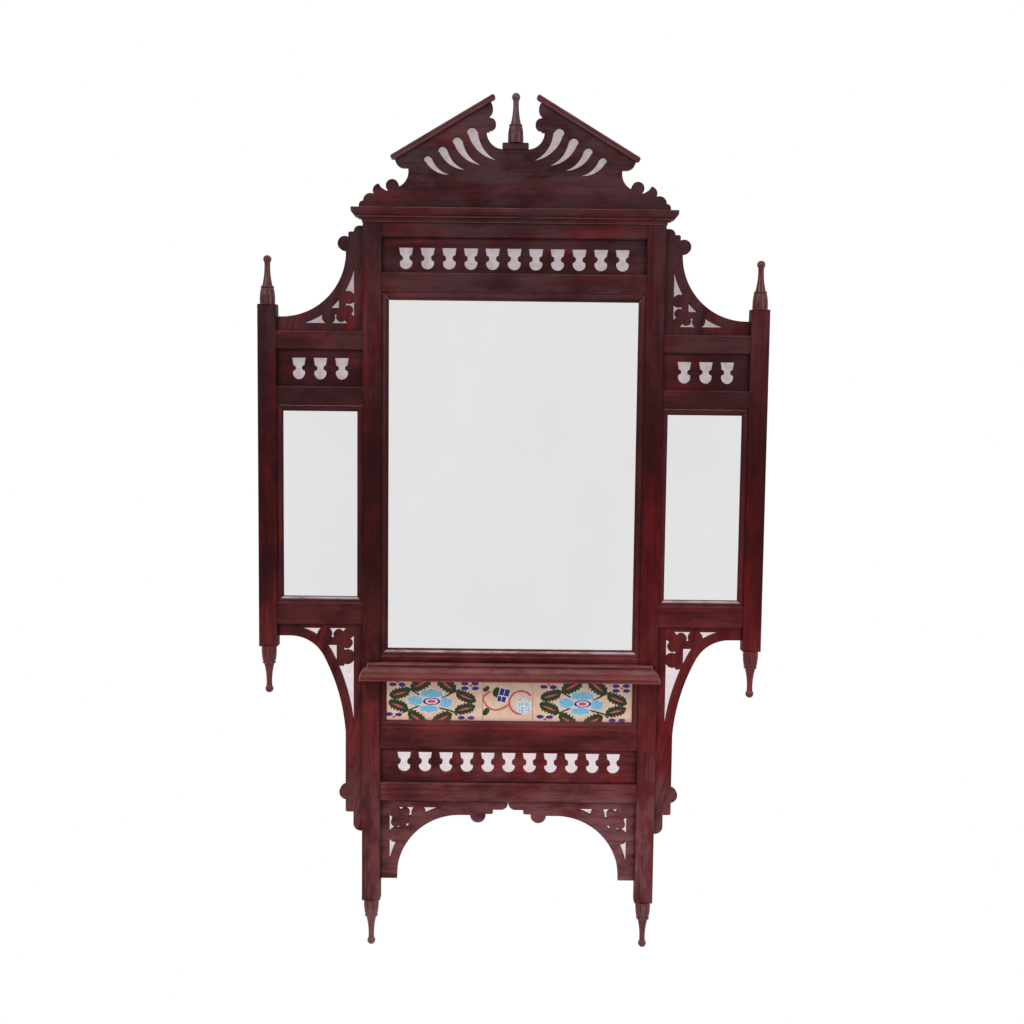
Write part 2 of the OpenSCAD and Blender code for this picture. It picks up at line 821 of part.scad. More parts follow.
module pediment_dowels() {
    color(wood_light)
        for (x = dowel_x)
            translate([x, dowel_y, tr_hi - dowel_l / 2]) cylinder(r = dowel_r, h = dowel_l, $fn = 48);
}

// The moulding along the right-hand rake: a deep upper reed over a shallow lower one
rake_up_x = slot_half + 0.6;
rake_low_x = ped_half_w - 45.3;
module raking_moulding() {
    x0 = rake_up_x / cos(rake_angle);
    x1 = rake_low_x / cos(rake_angle);
    thick = reed_up + reed_low;
    low_front = -frame_d + 0.7;
    low_back = -(frame_d - ped_set);
    color(wood_mid)
        translate([0, 0, tr_hi + rake_apex]) rotate([0, rake_angle, 0])
            intersection() {
                along_x(x0, x1) {
                    translate([-frame_d + reed_up / 2, -reed_up / 2]) circle(reed_up / 2);
                    translate([-frame_d + reed_up / 2, -reed_up])
                        square([ped_back + frame_d - reed_up / 2, reed_up]);
                    translate([low_front + reed_low / 2, -reed_up - reed_low / 2]) circle(reed_low / 2);
                    translate([low_front + reed_low / 2, -thick])
                        square([low_back - low_front - reed_low / 2, reed_low + 0.2]);
                }
                upright(over, frame_d + 2 * over) {
                    translate([x0 + rake_end_r, -thick - over])
                        square([x1 - x0 - 2 * rake_end_r, thick + 2 * over]);
                    translate([x0, -thick + rake_end_r]) square([x1 - x0, thick - 2 * rake_end_r]);
                    for (x = [x0 + rake_end_r, x1 - rake_end_r], z = [-rake_end_r, rake_end_r - thick])
                        translate([x, z]) circle(rake_end_r);
                }
            }
}

// The block that carries the centre finial
block_top = tr_hi + block_seat + block_h;
module finial_block() {
    block_front = -(frame_d - ped_set) - 2;
    d = ped_back + 3 - block_front;
    r = 2.4;
    color(wood_dark)
        difference() {
            translate([0, 0, tr_hi + block_seat]) upright(block_front + d, d) {
                translate([-block_w / 2, r]) square([block_w, block_h - 2 * r]);
                translate([-block_w / 2 + r, 0]) square([block_w - 2 * r, block_h]);
                for (s = [-1, 1], z = [r, block_h - r]) translate([s * (block_w / 2 - r), z]) circle(r);
            }
            socket(0, turn_y, block_top - short_spigot_l - 0.5, spigot_r, short_spigot_l + over + 0.5);
        }
}

// Cornice

// The cornice's section, standing on the stile's face: a hollow, a fillet, a round and a lip
module cornice_section() {
    out = cornice_out - cornice_foot;
    hollow_r = 0.36 * out;
    step = 0.75 * cornice_fillet;
    round_r = out - hollow_r - step;
    base = cornice_h - cornice_lip - round_r - cornice_fillet - hollow_r;
    difference() {
        square([cornice_foot + hollow_r, cornice_h]);
        translate([cornice_foot + hollow_r, base]) circle(hollow_r);
        translate([cornice_foot, -over]) square([hollow_r + over, base + over]);
    }
    translate([0, base + hollow_r]) square([cornice_foot + hollow_r + step, cornice_h - base - hollow_r]);
    intersection() {
        translate([cornice_out - round_r, cornice_h - cornice_lip]) circle(round_r);
        translate([cornice_out - round_r - over, cornice_h - cornice_lip - round_r - over])
            square([round_r + 2 * over, round_r + 2 * over]);
    }
    translate([0, cornice_h - cornice_lip]) square([cornice_out, cornice_lip]);
}

// A moulding that runs across the front: its section's X points out of the face at depth y
module front_run(half, y) {
    translate([0, y, 0]) along_x(-half, half) mirror([1, 0]) children();
}

// A moulding that runs back from the front along the right-hand side, out of the face at x
module side_run(x, y0, y1) {
    translate([x, y1, 0]) rotate([90, 0, 0]) linear_extrude(y1 - y0) children();
}

// Keeps what lies in a plan outline
module plan_cut(z0, z1, points) {
    intersection() {
        children();
        translate([0, 0, z0]) linear_extrude(z1 - z0) polygon(points);
    }
}

// A run's plan, mitred at both ends at the corners (x, y), for a moulding that stands out by w
module front_mitre(x, y, w, z0, z1) {
    m = w + over;
    plan_cut(z0, z1, [[-x + over, y + over], [x - over, y + over], [x + m, y - m], [-x - m, y - m]])
        children();
}

module side_mitre(x, y, w, z0, z1) {
    m = w + over;
    plan_cut(z0, z1, [[x - over, y + over], [x + m, y - m], [x + m, over], [x - over, over]])
        children();
}

// The strip behind a planted moulding that fills the gap to a rail between the stiles
module tongue(z0, z1) {
    translate([-stile_in + fit, -frame_d - 0.5, z0])
        cube([2 * (stile_in - fit), rail_set + 0.5, z1 - z0]);
}

module cornice_front() {
    z0 = tr_hi - cornice_h;
    color(wood_mid) {
        front_mitre(stile_out, -frame_d, cornice_out, z0 - over, tr_hi + over)
            translate([0, 0, z0]) front_run(stile_out + cornice_out + over, -frame_d) cornice_section();
        tongue(z0, tr_hi - rail_chamfer);
    }
}

module cornice_return() {
    z0 = tr_hi - cornice_h;
    color(wood_mid)
        side_mitre(stile_out, -frame_d, cornice_out, z0 - over, tr_hi + over)
            translate([0, 0, z0]) side_run(stile_out, -frame_d - cornice_out - over, 0) cornice_section();
}

// Ledge

ledge_hi = mlr_hi - ledge_drop;
ledge_lo = ledge_hi - ledge_h;
ledge_end = stile_out - ledge_inset;

// The ledge's section: a lip, a quarter round that swells out below it, and two fillets
module ledge_section() {
    foot_h = ledge_h - ledge_lip - ledge_r - ledge_fillet;
    square([ledge_top_out, ledge_h]);
    intersection() {
        translate([ledge_top_out, foot_h + ledge_fillet]) circle(ledge_r);
        translate([ledge_top_out - over, foot_h + ledge_fillet - over])
            square([ledge_r + 2 * over, ledge_r + 2 * over]);
    }
    square([(ledge_top_out + ledge_r + ledge_out) / 2, foot_h + ledge_fillet]);
    square([ledge_out, foot_h]);
}

module ledge_front() {
    color(wood_light) {
        front_mitre(ledge_end, -frame_d, ledge_out, ledge_lo - over, ledge_hi + over)
            translate([0, 0, ledge_lo]) front_run(ledge_end + ledge_out + over, -frame_d) ledge_section();
        tongue(mlr_lo + rail_chamfer, ledge_hi);
    }
}

module ledge_return() {
    color(wood_light)
        plan_cut(ledge_lo - over, ledge_hi + over, [
            [ledge_end - over, -frame_d + over], [ledge_end + ledge_out + over, -frame_d - ledge_out - over],
            [ledge_end + ledge_out + over, -frame_d + over]
        ])
            translate([0, 0, ledge_lo]) side_run(ledge_end, -frame_d - ledge_out - over, -frame_d)
                ledge_section();
}

// Turned finials and drops

// Half the outline of a finial that stands on y = 0: a bulb, a rim, a hollow neck and a ball
// with a flat top
module finial_outline() {
    bulb_h = 24.2;
    rim_h = 2.8;
    rim_r = 10;
    ball_mid = finial_h - 0.9 * ball_r;
    foot_r = finial_r - 0.2;
    neck_lo = [8, bulb_h + rim_h - 0.3];
    neck_hi = [neck_r, ball_mid - 0.6 * ball_r];
    neck_mid = [
        (neck_lo[0] + neck_hi[0]) / 2 - 1.5,
        (neck_lo[1] + neck_hi[1]) / 2
    ];
    bulb_mid = circle_centre([foot_r, 0], [finial_r, 6], [rim_r - 0.4, bulb_h]);
    square([spigot_r, 2]);
    intersection() {
        translate(bulb_mid) circle(norm(bulb_mid - [foot_r, 0]), $fn = 96);
        square([finial_r + over, bulb_h]);
    }
    translate([0, bulb_h]) square([rim_r - rim_h / 2, rim_h]);
    translate([rim_r - rim_h / 2, bulb_h + rim_h / 2]) circle(rim_h / 2);
    difference() {
        translate([0, bulb_h + rim_h - 0.5]) square([neck_lo[0], neck_hi[1] - bulb_h - rim_h + 0.5]);
        disc_through(neck_lo, neck_mid, neck_hi);
    }
    intersection() {
        translate([0, ball_mid]) circle(ball_r);
        translate([0, ball_mid - ball_r - over]) square([ball_r + over, 1.9 * ball_r + over]);
    }
}

// A finial with its seat at (x, z), or hanging from it where drop is true
module finial(x, z, drop = false, spigot = spigot_l) {
    color(wood_dark)
        translate([x, turn_y, z]) mirror([0, 0, drop ? 1 : 0]) {
            rotate_extrude($fn = 96) finial_outline();
            translate([0, 0, -spigot]) cylinder(r = spigot_r, h = spigot + 1, $fn = 48);
        }
}

mid_stile_x = (stile_in + stile_out) / 2;
mid_post_x = (post_in + post_out) / 2;
module centre_finial() {
    finial(0, block_top, spigot = short_spigot_l);
}

module wing_finial() {
    finial(mid_post_x, post_hi);
}

module wing_drop_finial() {
    finial(mid_post_x, post_lo, drop = true);
}

module stile_drop_finial() {
    finial(mid_stile_x, stile_lo, drop = true);
}

// Beads, mirrors, tiles and boards

// The section of a bead w wide: a flat band, a quarter round and a thin lip at the glass
module bead_section(w) {
    r = bead_t - bead_lip;
    square([bead_flat, bead_t]);
    square([w, bead_lip]);
    intersection() {
        translate([bead_flat, bead_lip]) circle(r);
        square([bead_flat + r + over, bead_t + over]);
    }
}

// One mitred bar, l long, along X with its outer edge on z = 0 and its back on glaze_front
mitre_gap = 0.1;
module bead_bar(l, w) {
    m = w + over;
    intersection() {
        translate([0, glaze_front, 0]) along_x(0, l) rotate(90) bead_section(w);
        upright(glaze_front + over, bead_t + 2 * over)
            polygon([
                [mitre_gap - over, -over], [l - mitre_gap + over, -over],
                [l - mitre_gap - m, m], [mitre_gap + m, m]
            ]);
    }
}

// The four bars round the opening x0 to x1, z0 to z1
module beads(x0, x1, z0, z1, w) {
    open_w = x1 - x0 - 2 * fit;
    open_h = z1 - z0 - 2 * fit;
    color(wood_light)
        translate([(x0 + x1) / 2, 0, (z0 + z1) / 2])
            for (turn = [0:3]) {
                l = turn % 2 == 0 ? open_w : open_h;
                h = turn % 2 == 0 ? open_h : open_w;
                rotate([0, turn * 90, 0]) translate([-l / 2, 0, -h / 2]) bead_bar(l, w);
            }
}

// A flat sheet that fills the opening x0 to x1, z0 to z1 behind a bead, with its front on y
module sheet(x0, x1, z0, z1, y, t) {
    translate([x0 + glaze_gap, y, z0 + glaze_gap])
        cube([x1 - x0 - 2 * glaze_gap, t, z1 - z0 - 2 * glaze_gap]);
}

module main_bead() {
    beads(-stile_in, stile_in, mlr_hi, mtr_lo, bead_w);
}

module wing_bead() {
    beads(stile_out, post_in, wlr_hi, wmr_lo, small_bead_w);
}

module tile_bead() {
    beads(-stile_in, stile_in, tlr_hi, mlr_lo, small_bead_w);
}

module main_mirror() {
    color(glass_grey)
        sheet(-stile_in, stile_in, mlr_hi, mtr_lo, glaze_front, glass_t);
}

module wing_mirror() {
    color(glass_grey)
        sheet(stile_out, post_in, wlr_hi, wmr_lo, glaze_front, glass_t);
}

module main_backboard() {
    color(board_brown)
        sheet(-stile_in, stile_in, mlr_hi, mtr_lo, glaze_front + glass_t, board_t);
}

module wing_backboard() {
    color(board_brown)
        sheet(stile_out, post_in, wlr_hi, wmr_lo, glaze_front + glass_t, board_t);
}

module tile_backboard() {
    color(board_brown)
        sheet(-stile_in, stile_in, tlr_hi, mlr_lo, glaze_front + tile_t, tile_board_t);
}

// The row of tiles stands on the rail below it: two whole tiles, and one between them that is
// cut to what they leave of the opening
row_x = -stile_in + tile_gap_left;
cut_tile_w = 2 * stile_in - tile_gap_left - tile_gap_right - 2 * tile_w - 2 * tile_joint;
module tile(x, w) {
    color(tile_cream)
        translate([x, glaze_front, tlr_hi + glaze_gap]) cube([w, tile_t, tile_h]);
}

module tile_left() {
    tile(row_x, tile_w);
}

module tile_centre() {
    tile(row_x + tile_w + tile_joint, cut_tile_w);
}

module tile_right() {
    tile(row_x + tile_w + cut_tile_w + 2 * tile_joint, tile_w);
}

// The pins that hold the boards in place, half their length into the stiles and posts
module pins(x, heights, back) {
    for (z = heights)
        translate([x - pin_l / 2, back + pin_r + pin_gap, z]) rotate([0, 90, 0])
            cylinder(r = pin_r, h = pin_l, $fn = 24);
}

module board_pins() {
    color(steel_grey)
        for (s = [-1, 1]) {
            pins(s * stile_in, main_pins, board_back);
            pins(s * stile_in, tile_pins, tile_board_back);
            pins(s * stile_out, wing_pins, board_back);
            pins(s * post_in, wing_pins, board_back);
        }
}

// Hanging plates, let into the backs of the main stiles

plate_x = (stile_in + stile_out) / 2;
plate_z = key_z + key_rise / 2;
plate_screw_inset = 5;
plate_screw_z = [
    plate_z - plate_l / 2 + plate_screw_inset,
    plate_z + plate_l / 2 - plate_screw_inset
];
screw_r = 1.3;
// Room round a hanging screw's head behind the plate, and its depth
key_room = 1;
key_depth = 5;

// A cylinder that enters the back of the frame at (x, z)
module back_bore(x, z, r, depth) {
    translate([x, over, z]) rotate([90, 0, 0]) cylinder(r = r, h = depth + over, $fn = 48);
}

module plate_recess() {
    w = plate_w + 2 * fit;
    l = plate_l + 2 * fit;
    room = key_r + key_room;
    translate([plate_x - w / 2, -plate_t, plate_z - l / 2]) cube([w, plate_t + over, l]);
    translate([plate_x - room, -plate_t - key_depth, key_z - room])
        cube([2 * room, key_depth + over, key_rise + 2 * room]);
    for (z = plate_screw_z) back_bore(plate_x, z, screw_r + pin_gap, screw_l + 0.5);
}

module hanging_plate() {
    color(brass)
        difference() {
            translate([plate_x - plate_w / 2, -plate_t, plate_z - plate_l / 2])
                cube([plate_w, plate_t, plate_l]);
            back_bore(plate_x, key_z, key_r, plate_t + over);
            back_bore(plate_x, key_z + key_rise, key_slot_r, plate_t + over);
            translate([plate_x - key_slot_r, -plate_t - over, key_z])
                cube([2 * key_slot_r, plate_t + 2 * over, key_rise]);
            for (z = plate_screw_z)
                translate([plate_x, over, z]) rotate([90, 0, 0])
                    cylinder(r1 = screw_r + fit + plate_t + over, r2 = screw_r + fit, h = plate_t + over);
        }
}

module plate_screws() {
    color(brass)
        for (s = [-1, 1], z = plate_screw_z)
            translate([s * plate_x, 0, z]) rotate([90, 0, 0]) {
                cylinder(r1 = screw_r + plate_t, r2 = screw_r, h = plate_t, $fn = 48);
                cylinder(r = screw_r, h = screw_l, $fn = 48);
            }
}

on_side(-1) main_stile();  // main_stile_left
main_stile();  // main_stile_right
on_side(-1) wing_post();  // wing_post_left
wing_post();  // wing_post_right
top_rail();
mirror_top_rail();
mirror_low_rail();
tile_rail();
bottom_rail();
on_side(-1) wing_top_rail();  // wing_top_rail_left
wing_top_rail();  // wing_top_rail_right
on_side(-1) wing_mid_rail();  // wing_mid_rail_left
wing_mid_rail();  // wing_mid_rail_right
on_side(-1) wing_low_rail();  // wing_low_rail_left
wing_low_rail();  // wing_low_rail_right
upper_fret();
lower_fret();
on_side(-1) wing_fret();  // wing_fret_left
wing_fret();  // wing_fret_right
on_side(-1) upper_bracket();  // upper_bracket_left
upper_bracket();  // upper_bracket_right
on_side(-1) lower_bracket();  // lower_bracket_left
lower_bracket();  // lower_bracket_right
on_side(-1) apron_bracket();  // apron_bracket_left
apron_bracket();  // apron_bracket_right
pediment_board();
on_side(-1) raking_moulding();  // raking_moulding_left
raking_moulding();  // raking_moulding_right
pediment_dowels();
cornice_front();
on_side(-1) cornice_return();  // cornice_return_left
cornice_return();  // cornice_return_right
ledge_front();
for (s = [-1, 1]) on_side(s) ledge_return();  // ledge_returns
finial_block();
centre_finial();
on_side(-1) wing_finial();  // wing_finial_left
wing_finial();  // wing_finial_right
on_side(-1) wing_drop_finial();  // wing_drop_left
wing_drop_finial();  // wing_drop_right
on_side(-1) stile_drop_finial();  // stile_drop_left
stile_drop_finial();  // stile_drop_right
main_mirror();
on_side(-1) wing_mirror();  // wing_mirror_left
wing_mirror();  // wing_mirror_right
main_backboard();
on_side(-1) wing_backboard();  // wing_backboard_left
wing_backboard();  // wing_backboard_right
main_bead();
on_side(-1) wing_bead();  // wing_bead_left
wing_bead();  // wing_bead_right
tile_bead();
tile_left();
tile_centre();
tile_right();
tile_backboard();
board_pins();
on_side(-1) hanging_plate();  // hanging_plate_left
hanging_plate();  // hanging_plate_right
plate_screws();
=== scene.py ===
# %% [markdown]
# # A tall wall mirror in stained wood
# The frame's pieces come from a packed CAD model, in metres, at their real places. This script
# gives them their finishes: stained wood, silvered glass, painted tiles and brass. It also carves
# the finials. Everything is measured in the CAD model's own frame: X to the right, Z up, and Y
# into the wall, with the frame's back on Y = 0.

# %% Load the frame
import math
import bmesh
import bpy
from mathutils import Matrix, Vector


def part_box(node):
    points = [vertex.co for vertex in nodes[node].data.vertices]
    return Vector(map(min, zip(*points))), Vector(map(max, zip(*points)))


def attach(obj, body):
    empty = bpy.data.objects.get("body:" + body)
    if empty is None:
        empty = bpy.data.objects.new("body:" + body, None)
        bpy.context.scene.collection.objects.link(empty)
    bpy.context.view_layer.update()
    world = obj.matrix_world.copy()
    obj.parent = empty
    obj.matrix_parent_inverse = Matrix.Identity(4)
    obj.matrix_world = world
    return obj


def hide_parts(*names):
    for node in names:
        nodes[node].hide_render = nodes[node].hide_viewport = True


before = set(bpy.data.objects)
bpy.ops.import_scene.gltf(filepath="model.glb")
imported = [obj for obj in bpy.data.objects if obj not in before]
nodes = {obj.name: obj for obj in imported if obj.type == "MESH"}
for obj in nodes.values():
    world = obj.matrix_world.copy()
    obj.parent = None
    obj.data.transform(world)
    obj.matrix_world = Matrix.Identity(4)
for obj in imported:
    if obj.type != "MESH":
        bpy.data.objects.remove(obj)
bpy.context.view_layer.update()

# %% [markdown]
# ## The camera
# The photograph was taken from straight in front, a little above the frame's middle, with the
# camera tipped down by less than five degrees and rolled by less than one. A Track To constraint
# could aim a camera, but can't roll it. So the camera's matrix is built from three plain turns:
# lift it from looking down to looking along Y, tip it, then roll it.

# %% Camera
IMAGE_PX, FOCAL_PX, SENSOR_MM = 1024, 1200, 36.0
CAMERA_PLACE = (0.000285, -1.8188, -0.19348)
PITCH, ROLL, YAW = math.radians(-4.643), math.radians(0.650), math.radians(-0.017)

camera_data = bpy.data.cameras.new("camera")
camera_data.sensor_width = SENSOR_MM
camera_data.lens = SENSOR_MM * FOCAL_PX / IMAGE_PX
camera = bpy.data.objects.new("camera", camera_data)
bpy.context.scene.collection.objects.link(camera)
bpy.context.scene.camera = camera

aim = Matrix.Rotation(YAW, 4, "Z") @ Matrix.Rotation(math.pi / 2 + PITCH, 4, "X")
camera.matrix_world = Matrix.Translation(CAMERA_PLACE) @ aim @ Matrix.Rotation(ROLL, 4, "Z")
print("Lens:", round(camera_data.lens, 2), "mm")

# %% [markdown]
# ## Shader arithmetic
# A material in Blender is a graph of nodes, and wiring one by hand for each sum is slow to write
# and hard to read. `Tap` wraps one output socket. Its operators add Math nodes, so a mask can be
# written as `1 - rings * 0.5`. Every other kind of node comes from `Tap.node`.

# %% A socket that can be used in sums
class Tap:
    """One output socket of a node tree, for use in Python expressions."""

    def __init__(self, tree, socket=None):
        self.tree = tree
        self.socket = socket

    def node(self, kind, feeds=None, out=0, **settings):
        """Adds a node: its settings first, then the values or links of its sockets."""
        made = self.tree.nodes.new(kind)
        for name, value in settings.items():
            setattr(made, name, value)
        for name, value in (feeds or {}).items():
            plug_in(self.tree, made.inputs[name], value)
        return Tap(self.tree, made.outputs[out] if made.outputs else None)

    def maths(self, operation, *values):
        return self.node("ShaderNodeMath", dict(enumerate(values)), operation=operation)

    def vector(self, operation, *values, out=0):
        feeds = dict(enumerate(values))
        return self.node("ShaderNodeVectorMath", feeds, out, operation=operation)

    def __add__(self, other): return self.maths("ADD", self, other)
    def __radd__(self, other): return self.maths("ADD", other, self)
    def __sub__(self, other): return self.maths("SUBTRACT", self, other)
    def __rsub__(self, other): return self.maths("SUBTRACT", other, self)
    def __mul__(self, other): return self.maths("MULTIPLY", self, other)
    def __rmul__(self, other): return self.maths("MULTIPLY", other, self)
    def __truediv__(self, other): return self.maths("DIVIDE", self, other)
    def __rtruediv__(self, other): return self.maths("DIVIDE", other, self)
    def __abs__(self): return self.maths("ABSOLUTE", self)

    def low(self, other): return self.maths("MINIMUM", self, other)
    def high(self, other): return self.maths("MAXIMUM", self, other)
    def sine(self): return self.maths("SINE", self)
    def cosine(self): return self.maths("COSINE", self)
    def root(self): return self.maths("SQRT", self)

    def step(self, start, end):
        """Goes smoothly from 0 where the value is start to 1 where it is end."""
        feeds = {"Value": self, "From Min": start, "From Max": end}
        return self.node("ShaderNodeMapRange", feeds, interpolation_type="SMOOTHSTEP")

    def over(self, base, top):
        """Uses this value as a mask that lays the colour top over the colour base."""
        return self.node("ShaderNodeMix", {0: self, 6: base, 7: top}, out=2, data_type="RGBA")

    def parts(self):
        """The X, Y and Z of a vector, as three values."""
        split = self.node("ShaderNodeSeparateXYZ", {"Vector": self}).socket.node
        return [Tap(self.tree, output) for output in split.outputs]


def plug_in(tree, socket, value):
    """Links a Tap to a socket, or sets the socket to a plain number, colour or vector."""
    if isinstance(value, Tap):
        tree.links.new(value.socket, socket)
    elif isinstance(value, tuple) and len(value) == 3 and socket.type == "RGBA":
        socket.default_value = (*value, 1.0)
    else:
        socket.default_value = value


print("Sums that work in both orders:", sum(name.startswith("__r") for name in vars(Tap)))

# %% [markdown]
# ## Materials
# Blender's shaders work in linear light, but a colour that is listed here is written for the
# screen, so `srgb` turns one into the other. What is the same all over a piece is set on the
# Principled shader itself, and what changes is linked to it.

# %% Colours and materials
def srgb(*levels):
    """A colour as the screen shows it, 0 to 255, in the linear light that shaders use."""
    parts = [v / 255 for v in levels]
    return tuple(p / 12.92 if p <= 0.04045 else ((p + 0.055) / 1.055) ** 2.4 for p in parts)


def new_material(name, **constants):
    """A new material, a Tap for its nodes, and its Principled shader with plain values set."""
    material = bpy.data.materials.new(name)
    material.use_nodes = True
    shader = material.node_tree.nodes["Principled BSDF"]
    finish(material, shader, **constants)
    return material, Tap(material.node_tree), shader


def finish(material, shader, **sockets):
    """Sets the shader's sockets to plain values, or feeds them with what changes."""
    for socket, value in sockets.items():
        plug_in(material.node_tree, shader.inputs[socket.replace("_", " ")], value)


def bare_tree(owner):
    """Clears the nodes of a material or a world, and returns a Tap for new ones."""
    owner.use_nodes = True
    owner.node_tree.nodes.clear()
    return Tap(owner.node_tree)


print("A middle red in linear light:", [round(v, 3) for v in srgb(128, 40, 40)])

# %% [markdown]
# ## The studio
# The mirror hangs on a white wall over a pale floor. The wall must look white to the camera, but a
# strong lamp on it would flood the mirror with light. So its shader asks what kind of ray is
# looking: the camera and the mirrors see plain white, and the light goes through. From behind, the
# wall is clear to every ray, so that the frame's back can be lit and looked at.

# %% Sheets and rays
WALL_Y, FLOOR_Z = 0.0006, -1.30
WALL_REACH, FLOOR_REACH = 4, 15


def sheet_object(name, low, high, material):
    """A stage sheet between two of its corners."""
    corners = [low, (high[0], *low[1:]), high, (low[0], *high[1:])]
    mesh = bpy.data.meshes.new(name)
    mesh.from_pydata(corners, [], [(0, 1, 2, 3)])
    mesh.materials.append(material)
    made = bpy.data.objects.new(name, mesh)
    bpy.context.scene.collection.objects.link(made)


def mirrored_rays(tap):
    """1 for the rays that come by way of a mirror or a glass."""
    glossy = tap.node("ShaderNodeLightPath", out="Is Glossy Ray")
    return glossy.high(tap.node("ShaderNodeLightPath", out="Is Transmission Ray"))


def seen_rays(tap):
    """1 for the rays that should see the plain white ground, 0 for the light that bounces."""
    return mirrored_rays(tap).high(tap.node("ShaderNodeLightPath", out="Is Camera Ray"))


print("Wall at y =", WALL_Y, "floor at z =", FLOOR_Z)

# %% [markdown]
# ## Flat marks
# The same little tool draws the wall's shaded places and the painting on the tiles. Both could be
# pictures, but marks that nodes draw stay sharp at any distance and need no file. A Mapping node
# set to Texture moves, turns and scales the place so that a mark of any size becomes a unit circle
# or a unit square. The length of the result, or the larger of its parts, is then 1 on the edge.

# %% Marks on a flat face
def mark_place(tap, place, middle, half, turn=0.0):
    """The place as seen from a mark: 1 is its half width or half height."""
    feeds = {
        "Vector": place, "Location": (*middle, 0), "Rotation": (0, 0, math.radians(turn)),
        "Scale": (*half, 1),
    }
    return tap.node("ShaderNodeMapping", feeds, vector_type="TEXTURE")


def ellipse(tap, place, middle, half, turn=0.0):
    """Less than 1 inside an ellipse."""
    return tap.vector("LENGTH", mark_place(tap, place, middle, half, turn), out="Value")


def box(tap, place, middle, half, turn=0.0):
    """Less than 1 inside a rectangle."""
    across, up, _ = mark_place(tap, place, middle, half, turn).parts()
    return abs(across).high(abs(up))


def inside(size, soft=0.02):
    """1 inside a mark and 0 outside it, with a soft edge."""
    return size.step(1 + soft, 1 - soft)


print("Shapes of marks:", [mark.__name__ for mark in (ellipse, box)])

# %% [markdown]
# ## The wall behind the piercings
# Seen through the frets and brackets, the wall is in the frame's shade, a soft pinkish grey. Real
# shade needs a wall that takes light, and this one doesn't. So the shade is painted on, in boxes
# that end under the wood, less the round arches of the brackets.

# %% Shade behind the frets and the scrolls
# middle and half size of the box behind each row of holes; X is the distance from the middle
FRET_BACKS = [
    ((0, 0.041), (0.190, 0.025)), ((0, -0.732), (0.190, 0.024)), ((0.288, -0.127), (0.060, 0.026)),
]
# the same behind the upper, lower and apron scrolls, and middle and radius of the arch at each
SCROLL_BACKS = [
    ((0.2888, -0.0108), (0.0578, 0.0558), (0.3465, 0.045), 0.1035),
    ((0.2828, -0.6250), (0.0512, 0.1080), (0.3340, -0.5895), 0.0635),
    ((0.1322, -0.8492), (0.0578, 0.0568), (0.0745, -0.906), 0.1040),
]
# the lower scrolls have a longer arch under the first
LONG_ARCH, LONG_ARCH_R, LONG_ARCH_TOP = (0.5516, -0.7023), 0.3085, (-0.560, -0.566)


def in_arch(tap, place, middle, radius, soft=0.02):
    return inside(ellipse(tap, place, middle, (radius, radius)), soft)


def fret_and_scroll_backs(tap, place, z):
    """A mask for each shaded box."""
    frets = [inside(box(tap, place, *back)) for back in FRET_BACKS]
    upper, lower, apron = [
        inside(box(tap, place, middle, half)) * (1 - in_arch(tap, place, arch, radius))
        for middle, half, arch, radius in SCROLL_BACKS
    ]
    long_arch = in_arch(tap, place, LONG_ARCH, LONG_ARCH_R, soft=0.002)
    return frets + [upper, lower * (1 - z.step(*LONG_ARCH_TOP) * long_arch), apron]


print("Shaded boxes:", len(FRET_BACKS) + len(SCROLL_BACKS))

# %% [markdown]
# A comma cut in the pediment has a round head and a tail between two arcs. Each arc is the circle
# through three points, so that only the places of the head and the tail's end are needed. The
# camera stands below the cuts, so the wall seen through them is a little higher than they are.

# %% Shade behind the comma cuts
# head and tail of the first cut, and how far each next one has moved
COMMA_HEAD, COMMA_TAIL = Vector((0.0645, 0.2210)), Vector((0.0238, 0.1792))
HEAD_STEP, TAIL_STEP = Vector((0.0218, -0.0133)), Vector((0.0230, -0.0068))
SEEN_HIGHER = Vector((0.0004, 0.0034))
COMMAS, HEAD_R, HEAD_SHRINK = 4, 0.0072, 0.00065
# as shares of a cut's length: the outer arc's rise, the inner arc's start and rise
OUTER_RISE, INNER_START, INNER_RISE = 0.215, 0.09, 0.066
# an arc's soft edge, and the tail's limits behind and beside the head
EDGE_OUT, EDGE_IN = 0.0018, 0.0012
BEHIND_HEAD, BESIDE_HEAD = (-0.006, -0.005), (-0.009, -0.008)


def circle_through(a, b, c):
    """Middle and radius of the circle through three points."""
    (ax, ay), (bx, by), (cx, cy) = a, b, c
    a2, b2, c2 = ax**2 + ay**2, bx**2 + by**2, cx**2 + cy**2
    d = 2 * (ax * (by - cy) + bx * (cy - ay) + cx * (ay - by))
    x = (a2 * (by - cy) + b2 * (cy - ay) + c2 * (ay - by)) / d
    y = (a2 * (cx - bx) + b2 * (ax - cx) + c2 * (bx - ax)) / d
    return (x, y), math.dist((x, y), a)


def comma(tap, place, head, tail, radius):
    """1 behind a comma cut."""
    long = (tail - head).length
    turn = math.degrees(math.atan2(*(tail - head).yx))
    local = mark_place(tap, place, tuple(head + SEEN_HIGHER), (1, 1), turn)

    def gap(middle, size):
        """How far outside a circle the place is."""
        return tap.vector("DISTANCE", local, (*middle, 0), out="Value") - size

    end = (long, 0)
    outer = gap(*circle_through((0, radius), (long / 2, OUTER_RISE * long), end))
    inner = gap(*circle_through((INNER_START * long, -radius), (long / 2, INNER_RISE * long), end))
    beyond, beside, _ = local.parts()
    tail_part = outer.step(EDGE_OUT, EDGE_IN) * inner.step(-EDGE_OUT, -EDGE_IN)
    tail_part = tail_part * beyond.step(*BEHIND_HEAD) * beside.step(*BESIDE_HEAD)
    return tail_part.high(gap((0, 0), radius).step(EDGE_OUT, EDGE_IN))


